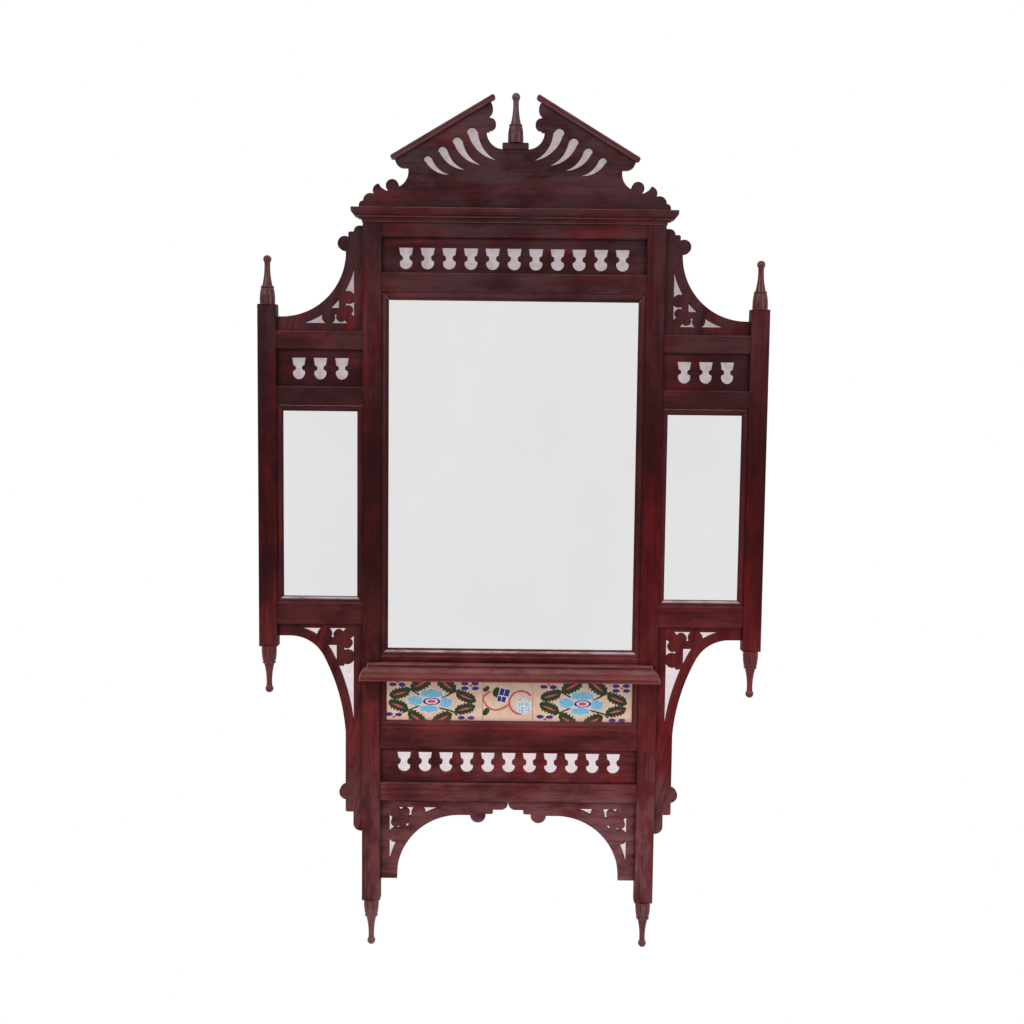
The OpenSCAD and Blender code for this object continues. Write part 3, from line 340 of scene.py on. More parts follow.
def comma_backs(tap, place):
    return [
        comma(
            tap, place, COMMA_HEAD + i * HEAD_STEP, COMMA_TAIL + i * TAIL_STEP,
            HEAD_R - HEAD_SHRINK * i,
        )
        for i in range(COMMAS)
    ]


print("First comma cut:", round((COMMA_TAIL - COMMA_HEAD).length * 1000, 1), "mm long")

# %% [markdown]
# The painted shade is lighter towards the foot, where the floor throws light back, and has darker
# patches above. It is partly real paint, which darkens under the wood, and partly a glow that keeps
# it even.

# %% Wall and floor
WHITE_LIGHT = (1.0, 1.0, 1.0)
WALL_PAINT, DARKER_SHADE = srgb(232, 222, 226), srgb(176, 158, 158)
SHADE_ABOVE, SHADE_BELOW = srgb(214, 200, 205), srgb(244, 231, 235)
TO_THE_FOOT = (-0.05, -0.60)
FLOOR_GREY, FLOOR_GLOW = (0.82, 0.82, 0.82), 0.45


def here(tap):
    """The place on a piece, in metres."""
    return tap.node("ShaderNodeTexCoord", out="Object")


def noise(tap, place, scale, out=0, **feeds):
    return tap.node("ShaderNodeTexNoise", {"Vector": place, "Scale": scale, **feeds}, out)


def mixed(tap, share, first, second):
    return tap.node("ShaderNodeMixShader", {0: share, 1: first, 2: second})


def wall_material():
    material = bpy.data.materials.new("wall_paint")
    tap = bare_tree(material)
    x, _, z = here(tap).parts()
    folded = tap.node("ShaderNodeCombineXYZ", {"X": abs(x), "Y": z})
    masks = fret_and_scroll_backs(tap, folded, z) + comma_backs(tap, folded)
    shade = masks[0]
    for mask in masks[1:]:
        shade = shade.high(mask)
    foot = z.step(*TO_THE_FOOT)
    # darker patches of painted shade, more of them higher up
    shade_patches = noise(tap, here(tap), 95.0).step(0.42, 0.66) * (0.5 - foot * 0.35)
    tint = shade_patches.over(foot.over(SHADE_ABOVE, SHADE_BELOW), DARKER_SHADE)
    paint = tap.node("ShaderNodeBsdfDiffuse", {"Color": WALL_PAINT})
    glow = tap.node("ShaderNodeEmission", {"Color": tint, "Strength": 1.0})
    white = tap.node("ShaderNodeEmission", {"Color": WHITE_LIGHT, "Strength": 1.0})
    ground = mixed(tap, shade, white, mixed(tap, 0.6 + foot * 0.2, paint, glow))
    clear = tap.node("ShaderNodeBsdfTransparent")
    front = 1 - tap.node("ShaderNodeNewGeometry", out="Backfacing")
    seen = mixed(tap, seen_rays(tap) * front, clear, ground)
    tap.node("ShaderNodeOutputMaterial", {"Surface": seen})
    return material


def floor_material():
    material = bpy.data.materials.new("floor_paint")
    tap = bare_tree(material)
    paint = tap.node("ShaderNodeBsdfDiffuse", {"Color": FLOOR_GREY})
    glow = tap.node("ShaderNodeEmission", {"Color": WHITE_LIGHT, "Strength": FLOOR_GLOW})
    seen = mixed(tap, seen_rays(tap), paint, tap.node("ShaderNodeAddShader", {0: paint, 1: glow}))
    white = tap.node("ShaderNodeEmission", {"Color": WHITE_LIGHT, "Strength": 1.0})
    seen = mixed(tap, mirrored_rays(tap), seen, white)
    tap.node("ShaderNodeOutputMaterial", {"Surface": seen})
    return material


sheet_object(
    "wall", (-WALL_REACH, WALL_Y, FLOOR_Z), (WALL_REACH, WALL_Y, WALL_REACH), wall_material()
)
sheet_object(
    "floor", (-FLOOR_REACH, -FLOOR_REACH, FLOOR_Z), (FLOOR_REACH, FLOOR_REACH, FLOOR_Z),
    floor_material(),
)
print("Nodes in the wall's shader:", len(bpy.data.materials["wall_paint"].node_tree.nodes))

# %% [markdown]
# ## Light
# Two large soft boxes stand to the left and right, out of the mirrors' reflections, a third stands
# behind for the frame's back, and the world fills the rest. A sun would be simpler, but throws
# hard shadows. Together they light a plain surface to about the brightness that its colour says.

# %% World and soft boxes
FILL_LIGHT, FILL_STRENGTH = (1.0, 0.98, 0.97), 0.62


def make_world():
    world = bpy.data.worlds.new("studio")
    bpy.context.scene.world = world
    tap = bare_tree(world)
    fill = tap.node("ShaderNodeBackground", {"Color": FILL_LIGHT, "Strength": FILL_STRENGTH})
    white = tap.node("ShaderNodeBackground", {"Color": WHITE_LIGHT, "Strength": 1.0})
    tap.node("ShaderNodeOutputWorld", {"Surface": mixed(tap, seen_rays(tap), fill, white)})


def soft_box(name, place, target, size, watts):
    data = bpy.data.lights.new(name, "AREA")
    data.shape, data.energy = "RECTANGLE", watts
    data.size, data.size_y = size
    lamp = bpy.data.objects.new(name, data)
    lamp.location = place
    lamp.rotation_euler = (Vector(target) - Vector(place)).to_track_quat("-Z", "Y").to_euler()
    bpy.context.scene.collection.objects.link(lamp)


make_world()
soft_box("key_box", place=(-1.5, -1.7, 1.3), target=(0, 0, -0.3), size=(1.2, 1.6), watts=26)
soft_box("fill_box", place=(1.7, -1.6, 0.5), target=(0, 0, -0.4), size=(1.0, 1.6), watts=14)
soft_box("back_box", place=(0.9, 2.0, 0.7), target=(0, 0, -0.4), size=(1.2, 1.6), watts=16)
bpy.context.scene.view_settings.view_transform = "Standard"

# %% [markdown]
# ## Stained wood: the run of the grain
# The frame is a close-grained wood under a dark red-brown stain and a thin varnish. Wood looks
# like wood because its detail is stretched along the grain. So the place on a piece is split into
# a distance along the grain and two across it, and noise that is fed with these, scaled less along
# than across, gives broad boards, fine streaks and pores. A Wave texture would give rings, which
# don't show through this stain. The beads are mitred, so their grain turns at each corner: which
# bar a place is on follows from the opening's middle and half size.

# %% The run of the grain
RAKE = math.radians(30.8)
MITRE_SOFT = 0.0002
LEVEL_BAR, UPRIGHT_BAR = (1, 0, 0), (0.001, 0, 1)


def grain_place(tap, grain):
    """The place on a piece, in metres, as (across, across, along) its grain."""
    along = Vector(grain).normalized()
    across = along.cross(Vector((0, 1, 0))).normalized()
    axes = (across, along.cross(across), along)
    lengths = [tap.vector("DOT_PRODUCT", here(tap), tuple(a), out="Value") for a in axes]
    return tap.node("ShaderNodeCombineXYZ", dict(enumerate(lengths)))


def straight(*grain):
    """Grain that runs one way through a whole piece."""
    return lambda tap: grain_place(tap, grain)


def mitred(middle, half):
    """Grain along the bars of a bead round an opening in X and Z."""
    def place_of(tap):
        x, _, z = here(tap).parts()
        beside = (abs(x - middle[0]) - half[0]) - (abs(z - middle[1]) - half[1])
        level, upright = grain_place(tap, LEVEL_BAR), grain_place(tap, UPRIGHT_BAR)
        feeds = {0: beside.step(-MITRE_SOFT, MITRE_SOFT), 4: level, 5: upright}
        return tap.node("ShaderNodeMix", feeds, out=1, data_type="VECTOR")
    return place_of


def stretched(tap, place, across, along, **feeds):
    """Noise with so many features per metre across the grain and along it."""
    return noise(tap, tap.vector("MULTIPLY", place, (across, across, along)), 1.0, **feeds)


print("The rakes rise by", round(math.degrees(RAKE), 1), "degrees")

# %% [markdown]
# ## Stained wood: the stain
# The wood took its stain unevenly. Broad noise gives the boards, fine noise the streaks, and a
# little of each says how red a place is. One colour for all of it would look like plastic. The
# colour is darkest beside the large mirror, and lighter and redder towards the foot and the right,
# so the height and the side of a place take part too.

# %% Stain
DARK_STAIN, RED_STAIN, BRIGHT_STAIN = srgb(43, 11, 14), srgb(86, 16, 20), srgb(122, 24, 27)
BOARDS = dict(across=24.0, along=5.0, Detail=3.0, Roughness=0.55)
STREAKS = dict(across=190.0, along=7.0, Detail=4.0, Roughness=0.6, Distortion=0.3)
SCUFFS = dict(across=46.0, along=30.0, Detail=6.0, Roughness=0.7)
MIDDLE_REDNESS, RED_LEVELS, BRIGHT_LEVELS = 0.58, (0.37, 0.63), (0.53, 0.66)


def new_stain(boards, streaks, scuffs, low, x, redness):
    """The colour of the stain before the tints by height; low is 1 in the frame's lower part."""
    # lighter and redder towards the foot and the right
    lighter = low * 0.3 + x * (low * 1.2 + 0.4) + (redness - MIDDLE_REDNESS)
    red = (boards * 0.55 + scuffs * 0.25 + streaks * 0.20).step(*RED_LEVELS) * 0.72 + lighter
    bright = (boards * 0.5 + streaks * 0.2 + scuffs * 0.3 + low * 0.02).step(*BRIGHT_LEVELS)
    return (bright * (0.4 + low * 0.25)).over(red.over(DARK_STAIN, RED_STAIN), BRIGHT_STAIN)


print("Stains:", [round(v, 3) for v in DARK_STAIN], "to", [round(v, 3) for v in RED_STAIN])

# %% [markdown]
# ## Stained wood: tints by height and a painted sheen
# Tints lie over the stain: a grey haze above, which is a painted sheen standing for the varnish's
# reflection, a warmer red round the ledge and a paler colour on the feet. Noise alone could make
# them patchy, but would treat all heights alike, so each tint also grows in over its own range of
# heights.

# %% Tints by height, a painted sheen and dust
PAINTED_SHEEN_HAZE, WARM_TINT, PALE_TINT = srgb(80, 62, 66), srgb(132, 58, 58), srgb(126, 82, 86)
DUST = srgb(152, 102, 105)
PATCHES = dict(across=34.0, along=14.0, Detail=5.0, Roughness=0.6)
# the heights over which the painted sheen grows in, and its share in each
SHEEN_RANGES = [((-0.26, -0.02), 0.22), ((0.08, 0.16), 0.10), ((0.14, 0.25), 0.10)]
WARM_RANGE, PALE_RANGE = (-0.41, -0.56), (-0.68, -0.84)


def height_tints(x, z, stain, patches, dust):
    """Lays height tints and a painted sheen over a stain, and a little dust over all of it."""
    amount = 0.35 + 1.3 * patches.step(0.36, 0.64)
    # painted sheen: a grey haze higher up, standing for the varnish's reflection
    above = sum(z.step(*heights) * share for heights, share in SHEEN_RANGES)
    stain = (above * amount).over(stain, PAINTED_SHEEN_HAZE)
    # warmer round the ledge, paler on the feet and lighter to the right
    stain = (z.step(*WARM_RANGE) * 0.22 * amount).over(stain, WARM_TINT)
    stain = (z.step(*PALE_RANGE) * (0.45 + x * 0.5) * amount).over(stain, PALE_TINT)
    return (dust * (0.5 + amount * 0.5)).over(stain, DUST)


print("Films:", len(SHEEN_RANGES) + 2)

# %% [markdown]
# ## Stained wood: wear
# Painted shade, with some dirt, darkens the corners where two pieces meet, which an Ambient
# Occlusion node finds, and outer edges lose their stain first. They could be painted by hand, but
# a Bevel node finds them too: it gives the normal that a rounded edge would have, and where that
# leans away from the true normal there is an edge. Edges that face up are rubbed the most, and
# their pale colour is also a painted highlight of the light from above.

# %% Worn and lit edges, shaded corners
PORE_AND_SHADE_DARK, TOP_DUST_SHEEN, WORN_AND_HIGHLIT_EDGE = srgb(32, 12, 15), srgb(160, 118, 121), srgb(162, 110, 104)
EDGE_LEAN, CORNER_REACH, CORNER_DEPTH = (0.03, 0.24), 0.014, (0.08, 0.55)


def rounded(tap, radius):
    return tap.node("ShaderNodeBevel", {"Radius": radius}, samples=4)


def worn_and_highlit_edges(tap, radius, under):
    """1 along the outer edges of a piece that face up, under on other edges, 0 on its faces."""
    leaning, flat = rounded(tap, radius), tap.node("ShaderNodeNewGeometry", out="Normal")
    _, _, up = leaning.parts()
    lean = 1 - tap.vector("DOT_PRODUCT", leaning, flat, out="Value")
    return lean.step(*EDGE_LEAN) * (under + (1 - under) * up.step(0.0, 0.5))


def corner_shade_and_dirt(tap, back, patches):
    """Above 0 where pieces meet, but not on faces that look back, as the wall is near to them."""
    feeds = {"Distance": CORNER_REACH}
    hollow = 1 - tap.node("ShaderNodeAmbientOcclusion", feeds, out="AO", samples=6)
    return hollow.step(*CORNER_DEPTH) * back.step(0.5, 0.0) * (0.45 + 0.4 * patches.step(0.6, 0.4))


# how far the painted shade and dirt reach out of a corner
print("Dirt reaches", CORNER_REACH * 1000, "mm out of a corner")

# %% [markdown]
# ## Stained wood: the whole finish
# The layers go on in this order: stain, tints by height with a painted sheen above, open pores,
# painted shade and dirt in the corners, dust and painted sheen on faces that look up, and at last
# the edges, worn and painted lighter as if lit. The varnish is a thin Coat. The wood under it has
# no gloss of its own, because a second reflection would lay a grey veil over so dark a colour.

# %% The whole finish
PORES = dict(across=900.0, along=36.0, Detail=2.0, Roughness=0.5)
LOWER_PART, STREAK_LEVELS, PORE_LEVELS = (-0.36, -0.62), (0.50, 0.36), (0.44, 0.34)
SOFT_CORNER_R = 0.0006


def bump(tap, height, strength, distance, **feeds):
    feeds = {"Height": height, "Strength": strength, "Distance": distance, **feeds}
    return tap.node("ShaderNodeBump", feeds)


def stained_wood(
    name, place_of, redness, edge_wear_and_highlight, edge=0.0012, under=0.3, shine=0.13, polish=0.24,
    dust=0.0, dust_sheen=0.1, dust_sheen_colour=TOP_DUST_SHEEN,
):
    """Stained wood under varnish.

    redness, edge_wear_and_highlight: how red it is, how pale its worn, lit edges are, about 0 to 1.
    edge, under: the pale edges' width in metres, and their share on edges that don't face up.
    shine, polish: the weight and the roughness of the varnish.
    dust, dust_sheen, dust_sheen_colour: dust all over, dust and painted sheen on tops, its colour.
    """
    material, tap, shader = new_material(name, Specular_IOR_Level=0.0, Coat_Roughness=polish)
    place = place_of(tap)
    x, _, z = here(tap).parts()
    _, back, up = tap.node("ShaderNodeNewGeometry", out="Normal").parts()
    boards, streaks, pores, scuffs, patches = [
        stretched(tap, place, **layer) for layer in (BOARDS, STREAKS, PORES, SCUFFS, PATCHES)
    ]
    low, dark_pores = z.step(*LOWER_PART), pores.step(*PORE_LEVELS)
    stain = new_stain(boards, streaks, scuffs, low, x, redness)
    stain = height_tints(x, z, stain, patches, dust)
    stain = (streaks.step(*STREAK_LEVELS) * (0.22 + low * 0.1)).over(stain, PORE_AND_SHADE_DARK)
    stain = (dark_pores * 0.25).over(stain, PORE_AND_SHADE_DARK)
    # painted shade, with some dirt, in the corners where pieces meet
    stain = corner_shade_and_dirt(tap, back, patches).over(stain, PORE_AND_SHADE_DARK)
    # dust, and a painted sheen where the light from above falls, on faces that look up
    top_dust_sheen = up.step(0.08, 0.75) * dust_sheen * (0.5 + 0.7 * scuffs.step(0.35, 0.6))
    stain = top_dust_sheen.over(stain, dust_sheen_colour)
    # pale edges: partly rubbed, and partly a painted highlight where light from above catches them
    patchy = scuffs.step(0.60 - 0.25 * edge_wear_and_highlight, 0.72 - 0.25 * edge_wear_and_highlight)
    worn_and_highlit = worn_and_highlit_edges(tap, edge, under) * (0.25 + 0.75 * patchy)
    stain = (worn_and_highlit * edge_wear_and_highlight).over(stain, WORN_AND_HIGHLIT_EDGE)

    relief = streaks * 0.5 - dark_pores * 0.35 + scuffs * 0.15
    gloss = 0.40 + streaks * 0.14 + worn_and_highlit * 0.15
    varnish = shine * (0.7 + 0.6 * scuffs) - worn_and_highlit * 0.5 * shine
    finish(
        material, shader, Base_Color=stain, Roughness=gloss, Coat_Weight=varnish,
        Normal=bump(tap, relief, 0.3, 0.0004, Normal=rounded(tap, SOFT_CORNER_R)),
    )
    return material


print("A corner is rounded by", SOFT_CORNER_R * 1000, "mm")

# %% [markdown]
# ## Which piece has which wood
# Every CAD piece keeps its mesh and only changes what is in its material slot. One wood for all
# won't do, because the grain runs along each piece, and mouldings are redder, with paler worn and
# lit edges, than boards. A bead's opening is read from the bead itself: its box, less its width on
# each side.

# %% Mix the woods
BEAD_W, PALE_DUST_SHEEN = 0.010, srgb(186, 172, 180)
RAKE_FINISH = dict(redness=1.1, edge_wear_and_highlight=0.9, edge=0.0020, dust=0.16, dust_sheen=0.45)
TURNED_FINISH = dict(redness=1.1, edge_wear_and_highlight=0.2, shine=0.5, polish=0.1, dust=0.02, dust_sheen=0.15)
CORNICE_FINISH = dict(redness=0.6, edge_wear_and_highlight=1.0, edge=0.0016, under=1.0, dust=0.03, dust_sheen=0.17)
LEDGE_FINISH = dict(redness=1.15, edge_wear_and_highlight=1.0, edge=0.0030, under=0.8, dust=0.10, dust_sheen=0.34)
RETURN_FINISH = dict(redness=0.7, edge_wear_and_highlight=1.0, edge=0.0018, dust=0.08, dust_sheen=0.28)
# the grain's direction and the finish
RECIPES = {
    "stile_wood": ((0, 0, 1), dict(redness=0.5, edge_wear_and_highlight=0.35)),
    "rail_wood": ((1, 0, 0), dict(redness=0.40, edge_wear_and_highlight=0.75, dust=0.03)),
    "board_wood": ((1, 0, 0.02), dict(redness=0.45, edge_wear_and_highlight=0.4)),
    "bracket_wood": ((0.25, 0, 1), dict(redness=0.38, edge_wear_and_highlight=0.4)),
    "left_rake_wood": ((math.cos(RAKE), 0, math.sin(RAKE)), RAKE_FINISH),
    "right_rake_wood": ((math.cos(RAKE), 0, -math.sin(RAKE)), RAKE_FINISH),
    "cornice_wood": ((1, 0, 0.01), CORNICE_FINISH),
    "ledge_wood": ((1, 0, 0.01), LEDGE_FINISH),
    "return_wood": ((0.01, 1, 0), RETURN_FINISH),
    "turned_wood": ((0, 0, 1), TURNED_FINISH),
}
# how much dust and painted sheen lie on each bead's lower bar
BEAD_DUST_SHEEN = {"main_bead": 0.8, "wing_bead_left": 0.8, "wing_bead_right": 0.8, "tile_bead": 0.06}


def opening(node):
    """Middle and half size, in X and Z, of the opening inside a bead."""
    low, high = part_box(node)
    middle = ((low[0] + high[0]) / 2, (low[2] + high[2]) / 2)
    return middle, ((high[0] - low[0]) / 2 - BEAD_W, (high[2] - low[2]) / 2 - BEAD_W)


WOODS = {}
for name, (grain, recipe) in RECIPES.items():
    WOODS[name] = stained_wood(name, straight(*grain), **recipe)
for name, dust_sheen in BEAD_DUST_SHEEN.items():
    WOODS[name] = stained_wood(
        name + "_wood", mitred(*opening(name)), redness=0.6, edge_wear_and_highlight=0.8, dust=0.05,
        dust_sheen=dust_sheen, dust_sheen_colour=PALE_DUST_SHEEN,
    )
print("Woods:", len(WOODS))

# %% [markdown]
# A piece's name says what it is, so its wood follows from a word in the name. The first rule that
# fits counts: a drop hangs from a stile but is turned, and the centre finial's block is sawn.

# %% Give the woods to the pieces
WOOD_RULES = {
    "drop": "turned_wood", "wing_finial": "turned_wood", "centre_finial": "turned_wood",
    "stile": "stile_wood", "post": "stile_wood",
    "moulding_left": "left_rake_wood", "moulding_right": "right_rake_wood",
    "apron": "board_wood", "fret": "board_wood",
    "pediment_board": "board_wood", "finial_block": "board_wood",
    "bracket": "bracket_wood", "return": "return_wood",
    "cornice": "cornice_wood", "ledge": "ledge_wood", "rail": "rail_wood",
}
finished = set()


def wood_of(name):
    """The wood of a CAD piece, or None."""
    if name in BEAD_DUST_SHEEN:
        return name
    return next((wood for word, wood in WOOD_RULES.items() if word in name), None)


def dress(name, material):
    finished.add(name)
    for slot in nodes[name].material_slots:
        slot.material = material


for name in nodes:
    if wood_of(name):
        dress(name, WOODS[wood_of(name)])
print("Wooden pieces:", len(finished))

# %% [markdown]
# ## Turned and carved finials
# Each finial was turned on a lathe and then carved: eight petals stand round its bulb with their
# points under the rim, and the ball is faceted. A lathe shape is a list of radii and heights that
# goes round an axis. A Screw modifier could turn it, but the carving has to know the angle of each
# point, so the points are placed ring by ring.

# %% The turned outline, in millimetres
SPIGOT_R, FOOT_R, FINIAL_R, WIDEST_Z, BULB_H = 2.6, 11.3, 11.5, 6, 24.2
RIM_R, RIM_H, RIM_TURN, RIM_TUCK = 10.0, 2.8, 1.5, 0.4
NECK_FOOT_R, NECK_R, WAIST = 8.0, 4.5, 1.5
BALL_R, FINIAL_H, AXIS_R = 6.2, 72.0, 0.01
BALL_Z = FINIAL_H - 0.9 * BALL_R
NECK_LO, NECK_HI = (NECK_FOOT_R, BULB_H + RIM_H - 0.3), (NECK_R, BALL_Z - 0.6 * BALL_R)
BULB_RINGS, RIM_RINGS, NECK_RINGS, BALL_RINGS = 34, 9, 18, 14


def spaced(start, end, count):
    return [start + (end - start) * i / (count - 1) for i in range(count)]


def finial_outline():
    """Radii and heights from the spigot's end, written as -1, to the flat of the ball."""
    (bx, bz), br = circle_through((FOOT_R, 0), (FINIAL_R, WIDEST_Z), (RIM_R - RIM_TUCK, BULB_H))
    waist = ((NECK_LO[0] + NECK_HI[0]) / 2 - WAIST, (NECK_LO[1] + NECK_HI[1]) / 2)
    (nx, nz), nr = circle_through(NECK_LO, waist, NECK_HI)
    rim = RIM_H / 2
    bulb_zs, turns = spaced(0, BULB_H, BULB_RINGS), spaced(-RIM_TURN, RIM_TURN, RIM_RINGS)
    neck_zs = spaced(NECK_LO[1] + 0.3, NECK_HI[1] - 0.6, NECK_RINGS)
    ball_zs = spaced(NECK_HI[1], FINIAL_H, BALL_RINGS)
    return [
        (AXIS_R, -1), (SPIGOT_R, -1), (SPIGOT_R, 0),
        *[(bx + math.sqrt(br**2 - (z - bz)**2), z) for z in bulb_zs],
        *[(RIM_R - rim + rim * math.cos(t), BULB_H + rim + rim * math.sin(t)) for t in turns],
        *[(nx - math.sqrt(nr**2 - (z - nz)**2), z) for z in neck_zs],
        *[(math.sqrt(BALL_R**2 - (z - BALL_Z)**2), z) for z in ball_zs],
        (AXIS_R, FINIAL_H),
    ]


outline = finial_outline()
print("Outline points:", len(outline), "widest:", round(max(r for r, _ in outline), 2), "mm")

# %% [markdown]
# The chisel only makes the radius smaller, so a finial never leaves its turned outline. A petal
# fills most of an eighth of the turn, narrows to a point above its shoulder and is a little
# rounded across. The grooves between the petals fade out at the foot.

# %% The carving
EIGHTH = math.pi / 4
PETAL_W, SHOULDER_Z, POINT_H, PETAL_ROUND = 0.9, 11.0, BULB_H - 12.0, 0.25
GROOVE_DEPTH, GROOVE_SOFT, GROOVE_FOOT, FACET = 0.9, 0.07, 2.0, 0.06


def carved(radius, z, angle):
    """The radius after carving: eight petals on the bulb, eight facets on the ball."""
    off = abs((angle + EIGHTH / 2) % EIGHTH - EIGHTH / 2) / (EIGHTH / 2)
    if 0.0 < z < BULB_H:
        rise = max(0.0, (z - SHOULDER_Z) / POINT_H)
        petal = PETAL_W * math.sqrt(max(0.0, 1 - rise**2))
        cut = min(1.0, max(0.0, (off - petal + GROOVE_SOFT) / (2 * GROOVE_SOFT)))
        cut *= min(1.0, z / GROOVE_FOOT)
        groove = GROOVE_DEPTH * cut**2 * (3 - 2 * cut)
        return radius - groove - PETAL_ROUND * (1 - cut) * (off / (petal + 0.2))**2
    if z > NECK_HI[1]:
        return radius * (1 - FACET * (1 - math.cos(math.pi * off)) / 2)
    return radius


print("Deepest groove:", round(FOOT_R - carved(FOOT_R, SHOULDER_Z, EIGHTH / 2), 2), "mm")

# %% [markdown]
# A finial stands on its post or hangs from it. Its height above the seat and the seat's place come
# from the CAD piece that it stands for, so both are always in the same place.

# %% Carve the seven finials
TURNS, SHARP_EDGE = 96, math.radians(42)


def ring_places(name):
    """The places of the points of one finial, ring by ring."""
    low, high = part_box(name)
    hangs = "drop" in name
    x, y = (low[0] + high[0]) / 2, (low[1] + high[1]) / 2
    tall = FINIAL_H / 1000
    seat = low[2] + tall if hangs else high[2] - tall
    spigot = high[2] - low[2] - tall
    angles = [2 * math.pi * turn / TURNS for turn in range(TURNS)]
    for radius, z in outline:
        up = z / 1000 if z >= 0 else -spigot
        level = seat - up if hangs else seat + up
        radii = [carved(radius, z, angle) / 1000 for angle in angles]
        yield [(x + r * math.sin(a), y - r * math.cos(a), level) for r, a in zip(radii, angles)]


def carve(name):
    shape = bmesh.new()
    rings = [[shape.verts.new(place) for place in ring] for ring in ring_places(name)]
    for below, above in zip(rings, rings[1:]):
        for i in range(TURNS):
            j = (i + 1) % TURNS
            shape.faces.new((below[i], below[j], above[j], above[i]))
    shape.faces.new(rings[0])
    shape.faces.new(rings[-1])
    bmesh.ops.recalc_face_normals(shape, faces=shape.faces)
    for face in shape.faces:
        face.smooth = True
    for line in shape.edges:
        line.smooth = line.calc_face_angle(0) < SHARP_EDGE
    mesh = bpy.data.meshes.new("carved_" + name)
    shape.to_mesh(mesh)
    shape.free()
    mesh.materials.append(WOODS["turned_wood"])
    piece = bpy.data.objects.new("carved_" + name, mesh)
    bpy.context.scene.collection.objects.link(piece)
    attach(piece, "root")
    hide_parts(name)
    return piece


for name in [n for n in nodes if wood_of(n) == "turned_wood"]:
    piece = carve(name)
    print(piece.name, "faces:", len(piece.data.polygons))

# %% [markdown]
# ## Mirror glass
# Silvered glass is a sheet of glass with a metal film behind it. It could be made that way, but a
# nearly perfect metal looks the same, renders with less noise and can be baked. Old mirrors are
# never quite even, so a slow noise tints the silver and a finer one hazes it.

# %% Mirror glass
GREY_SILVER, CLEAR_SILVER = srgb(225, 225, 225), srgb(228, 228, 228)
POLISHED, HAZE = 0.012, 0.03
MIRRORS = ("main_mirror", "wing_mirror_left", "wing_mirror_right")


def mirror_glass():
    material, tap, shader = new_material("mirror_glass", Metallic=1.0)
    silver = noise(tap, here(tap), 5.0, Detail=3.0).step(0.3, 0.7).over(GREY_SILVER, CLEAR_SILVER)
    haze = noise(tap, here(tap), 40.0, Detail=6.0).step(0.5, 0.8)
    finish(material, shader, Base_Color=silver, Roughness=POLISHED + haze * HAZE)
    return material


glass = mirror_glass()
for name in MIRRORS:
    dress(name, glass)
print("Mirrors:", MIRRORS)

# %% [markdown]
# ## Painted tiles
# The tiles are cream earthenware with a pattern of flowers and leaves painted by hand and glazed
# over. The pattern is made of flat marks: ellipses for petals and berries, toothed leaves with a
# coral rib, and strokes for stems. All are drawn in millimetres from the middle of the flower, and
# a small noise shakes the place first, so that each edge wavers as a brush does.

# %% Brushes
CREAM, DARK_CREAM, WHITE = srgb(236, 206, 181), srgb(226, 186, 163), srgb(236, 236, 240)
LEAF_GREEN, CORAL, PINK = srgb(26, 50, 18), srgb(208, 84, 92), srgb(196, 78, 98)
LIGHT_BLUE, PALE_BLUE, DARK_BLUE = srgb(104, 178, 216), srgb(146, 204, 230), srgb(44, 36, 132)
SHAKE_SCALE, SHAKE_MM = 0.22, 2.4


def tile_place(tap, middle):
    """X and Z in millimetres from a point on the tile's face, shaken a little."""
    x, _, z = here(tap).parts()
    across, up = (x - middle[0]) * 1000, (z - middle[1]) * 1000
    flat = tap.node("ShaderNodeCombineXYZ", {"X": across, "Y": up})
    shake = noise(tap, flat, SHAKE_SCALE, out="Color", Detail=2.0)
    shake = tap.vector("SUBTRACT", shake, (0.5, 0.5, 0.5))
    return tap.vector("ADD", flat, tap.vector("MULTIPLY", shake, (SHAKE_MM, SHAKE_MM, 0.0)))


def daub(colour, size, pigment, soft=0.07):
    """Lays a pigment where a mark's size is under 1."""
    return inside(size, soft).over(colour, pigment)


def lobed(tap, place, middle, half, lobes, depth=0.10):
    """Less than 1 inside an ellipse with a scalloped edge."""
    across, up, _ = mark_place(tap, place, middle, half).parts()
    angle = tap.maths("ARCTAN2", up, across)
    return (across * across + up * up).root() + (angle * lobes).cosine() * depth


def stroke(tap, place, start, end, width):
    """Less than 1 inside a line with round ends."""
    (ax, az), (bx, bz) = start, end
    length, turn = math.dist(start, end), math.degrees(math.atan2(bz - az, bx - ax))
    middle, half = ((ax + bx) / 2, (az + bz) / 2), (width / 2, width / 2)
    across, up, _ = mark_place(tap, place, middle, half, turn).parts()
    beyond = (abs(across) - length / width).high(0.0)
    return (beyond * beyond + up * up).root()


print("Coral in linear light:", [round(v, 3) for v in CORAL])

# %% [markdown]
# A leaf's outline is `1 - across^4`, which gives it blunt ends. A sine wave along it cuts the
# teeth, and a thin parabola makes the rib.

# %% Leaves
TOOTH_RATE, TOOTH_DEPTH, LEAF_EDGE = 21, 0.13, (-0.06, 0.08)
RIB_SHORT, RIB_W, RIB_EDGE = 1.5, 0.17, (-0.04, 0.05)


def leaf(tap, place, colour, middle, half, turn, pigment, rib):
    """Paints a leaf with a toothed edge and a rib."""
    across, up, _ = mark_place(tap, place, middle, half, turn).parts()
    square, short = across * across, across * RIB_SHORT
    teeth = 0.92 + (across * TOOTH_RATE).sine() * TOOTH_DEPTH
    body = (1 - square * square) * teeth - abs(up)
    ridge = (1 - short * short) * RIB_W - abs(up + 0.05)
    return ridge.step(*RIB_EDGE).over(body.step(*LEAF_EDGE).over(colour, pigment), rib)


print("Teeth along each side of a leaf:", round(2 * TOOTH_RATE / (2 * math.pi)))

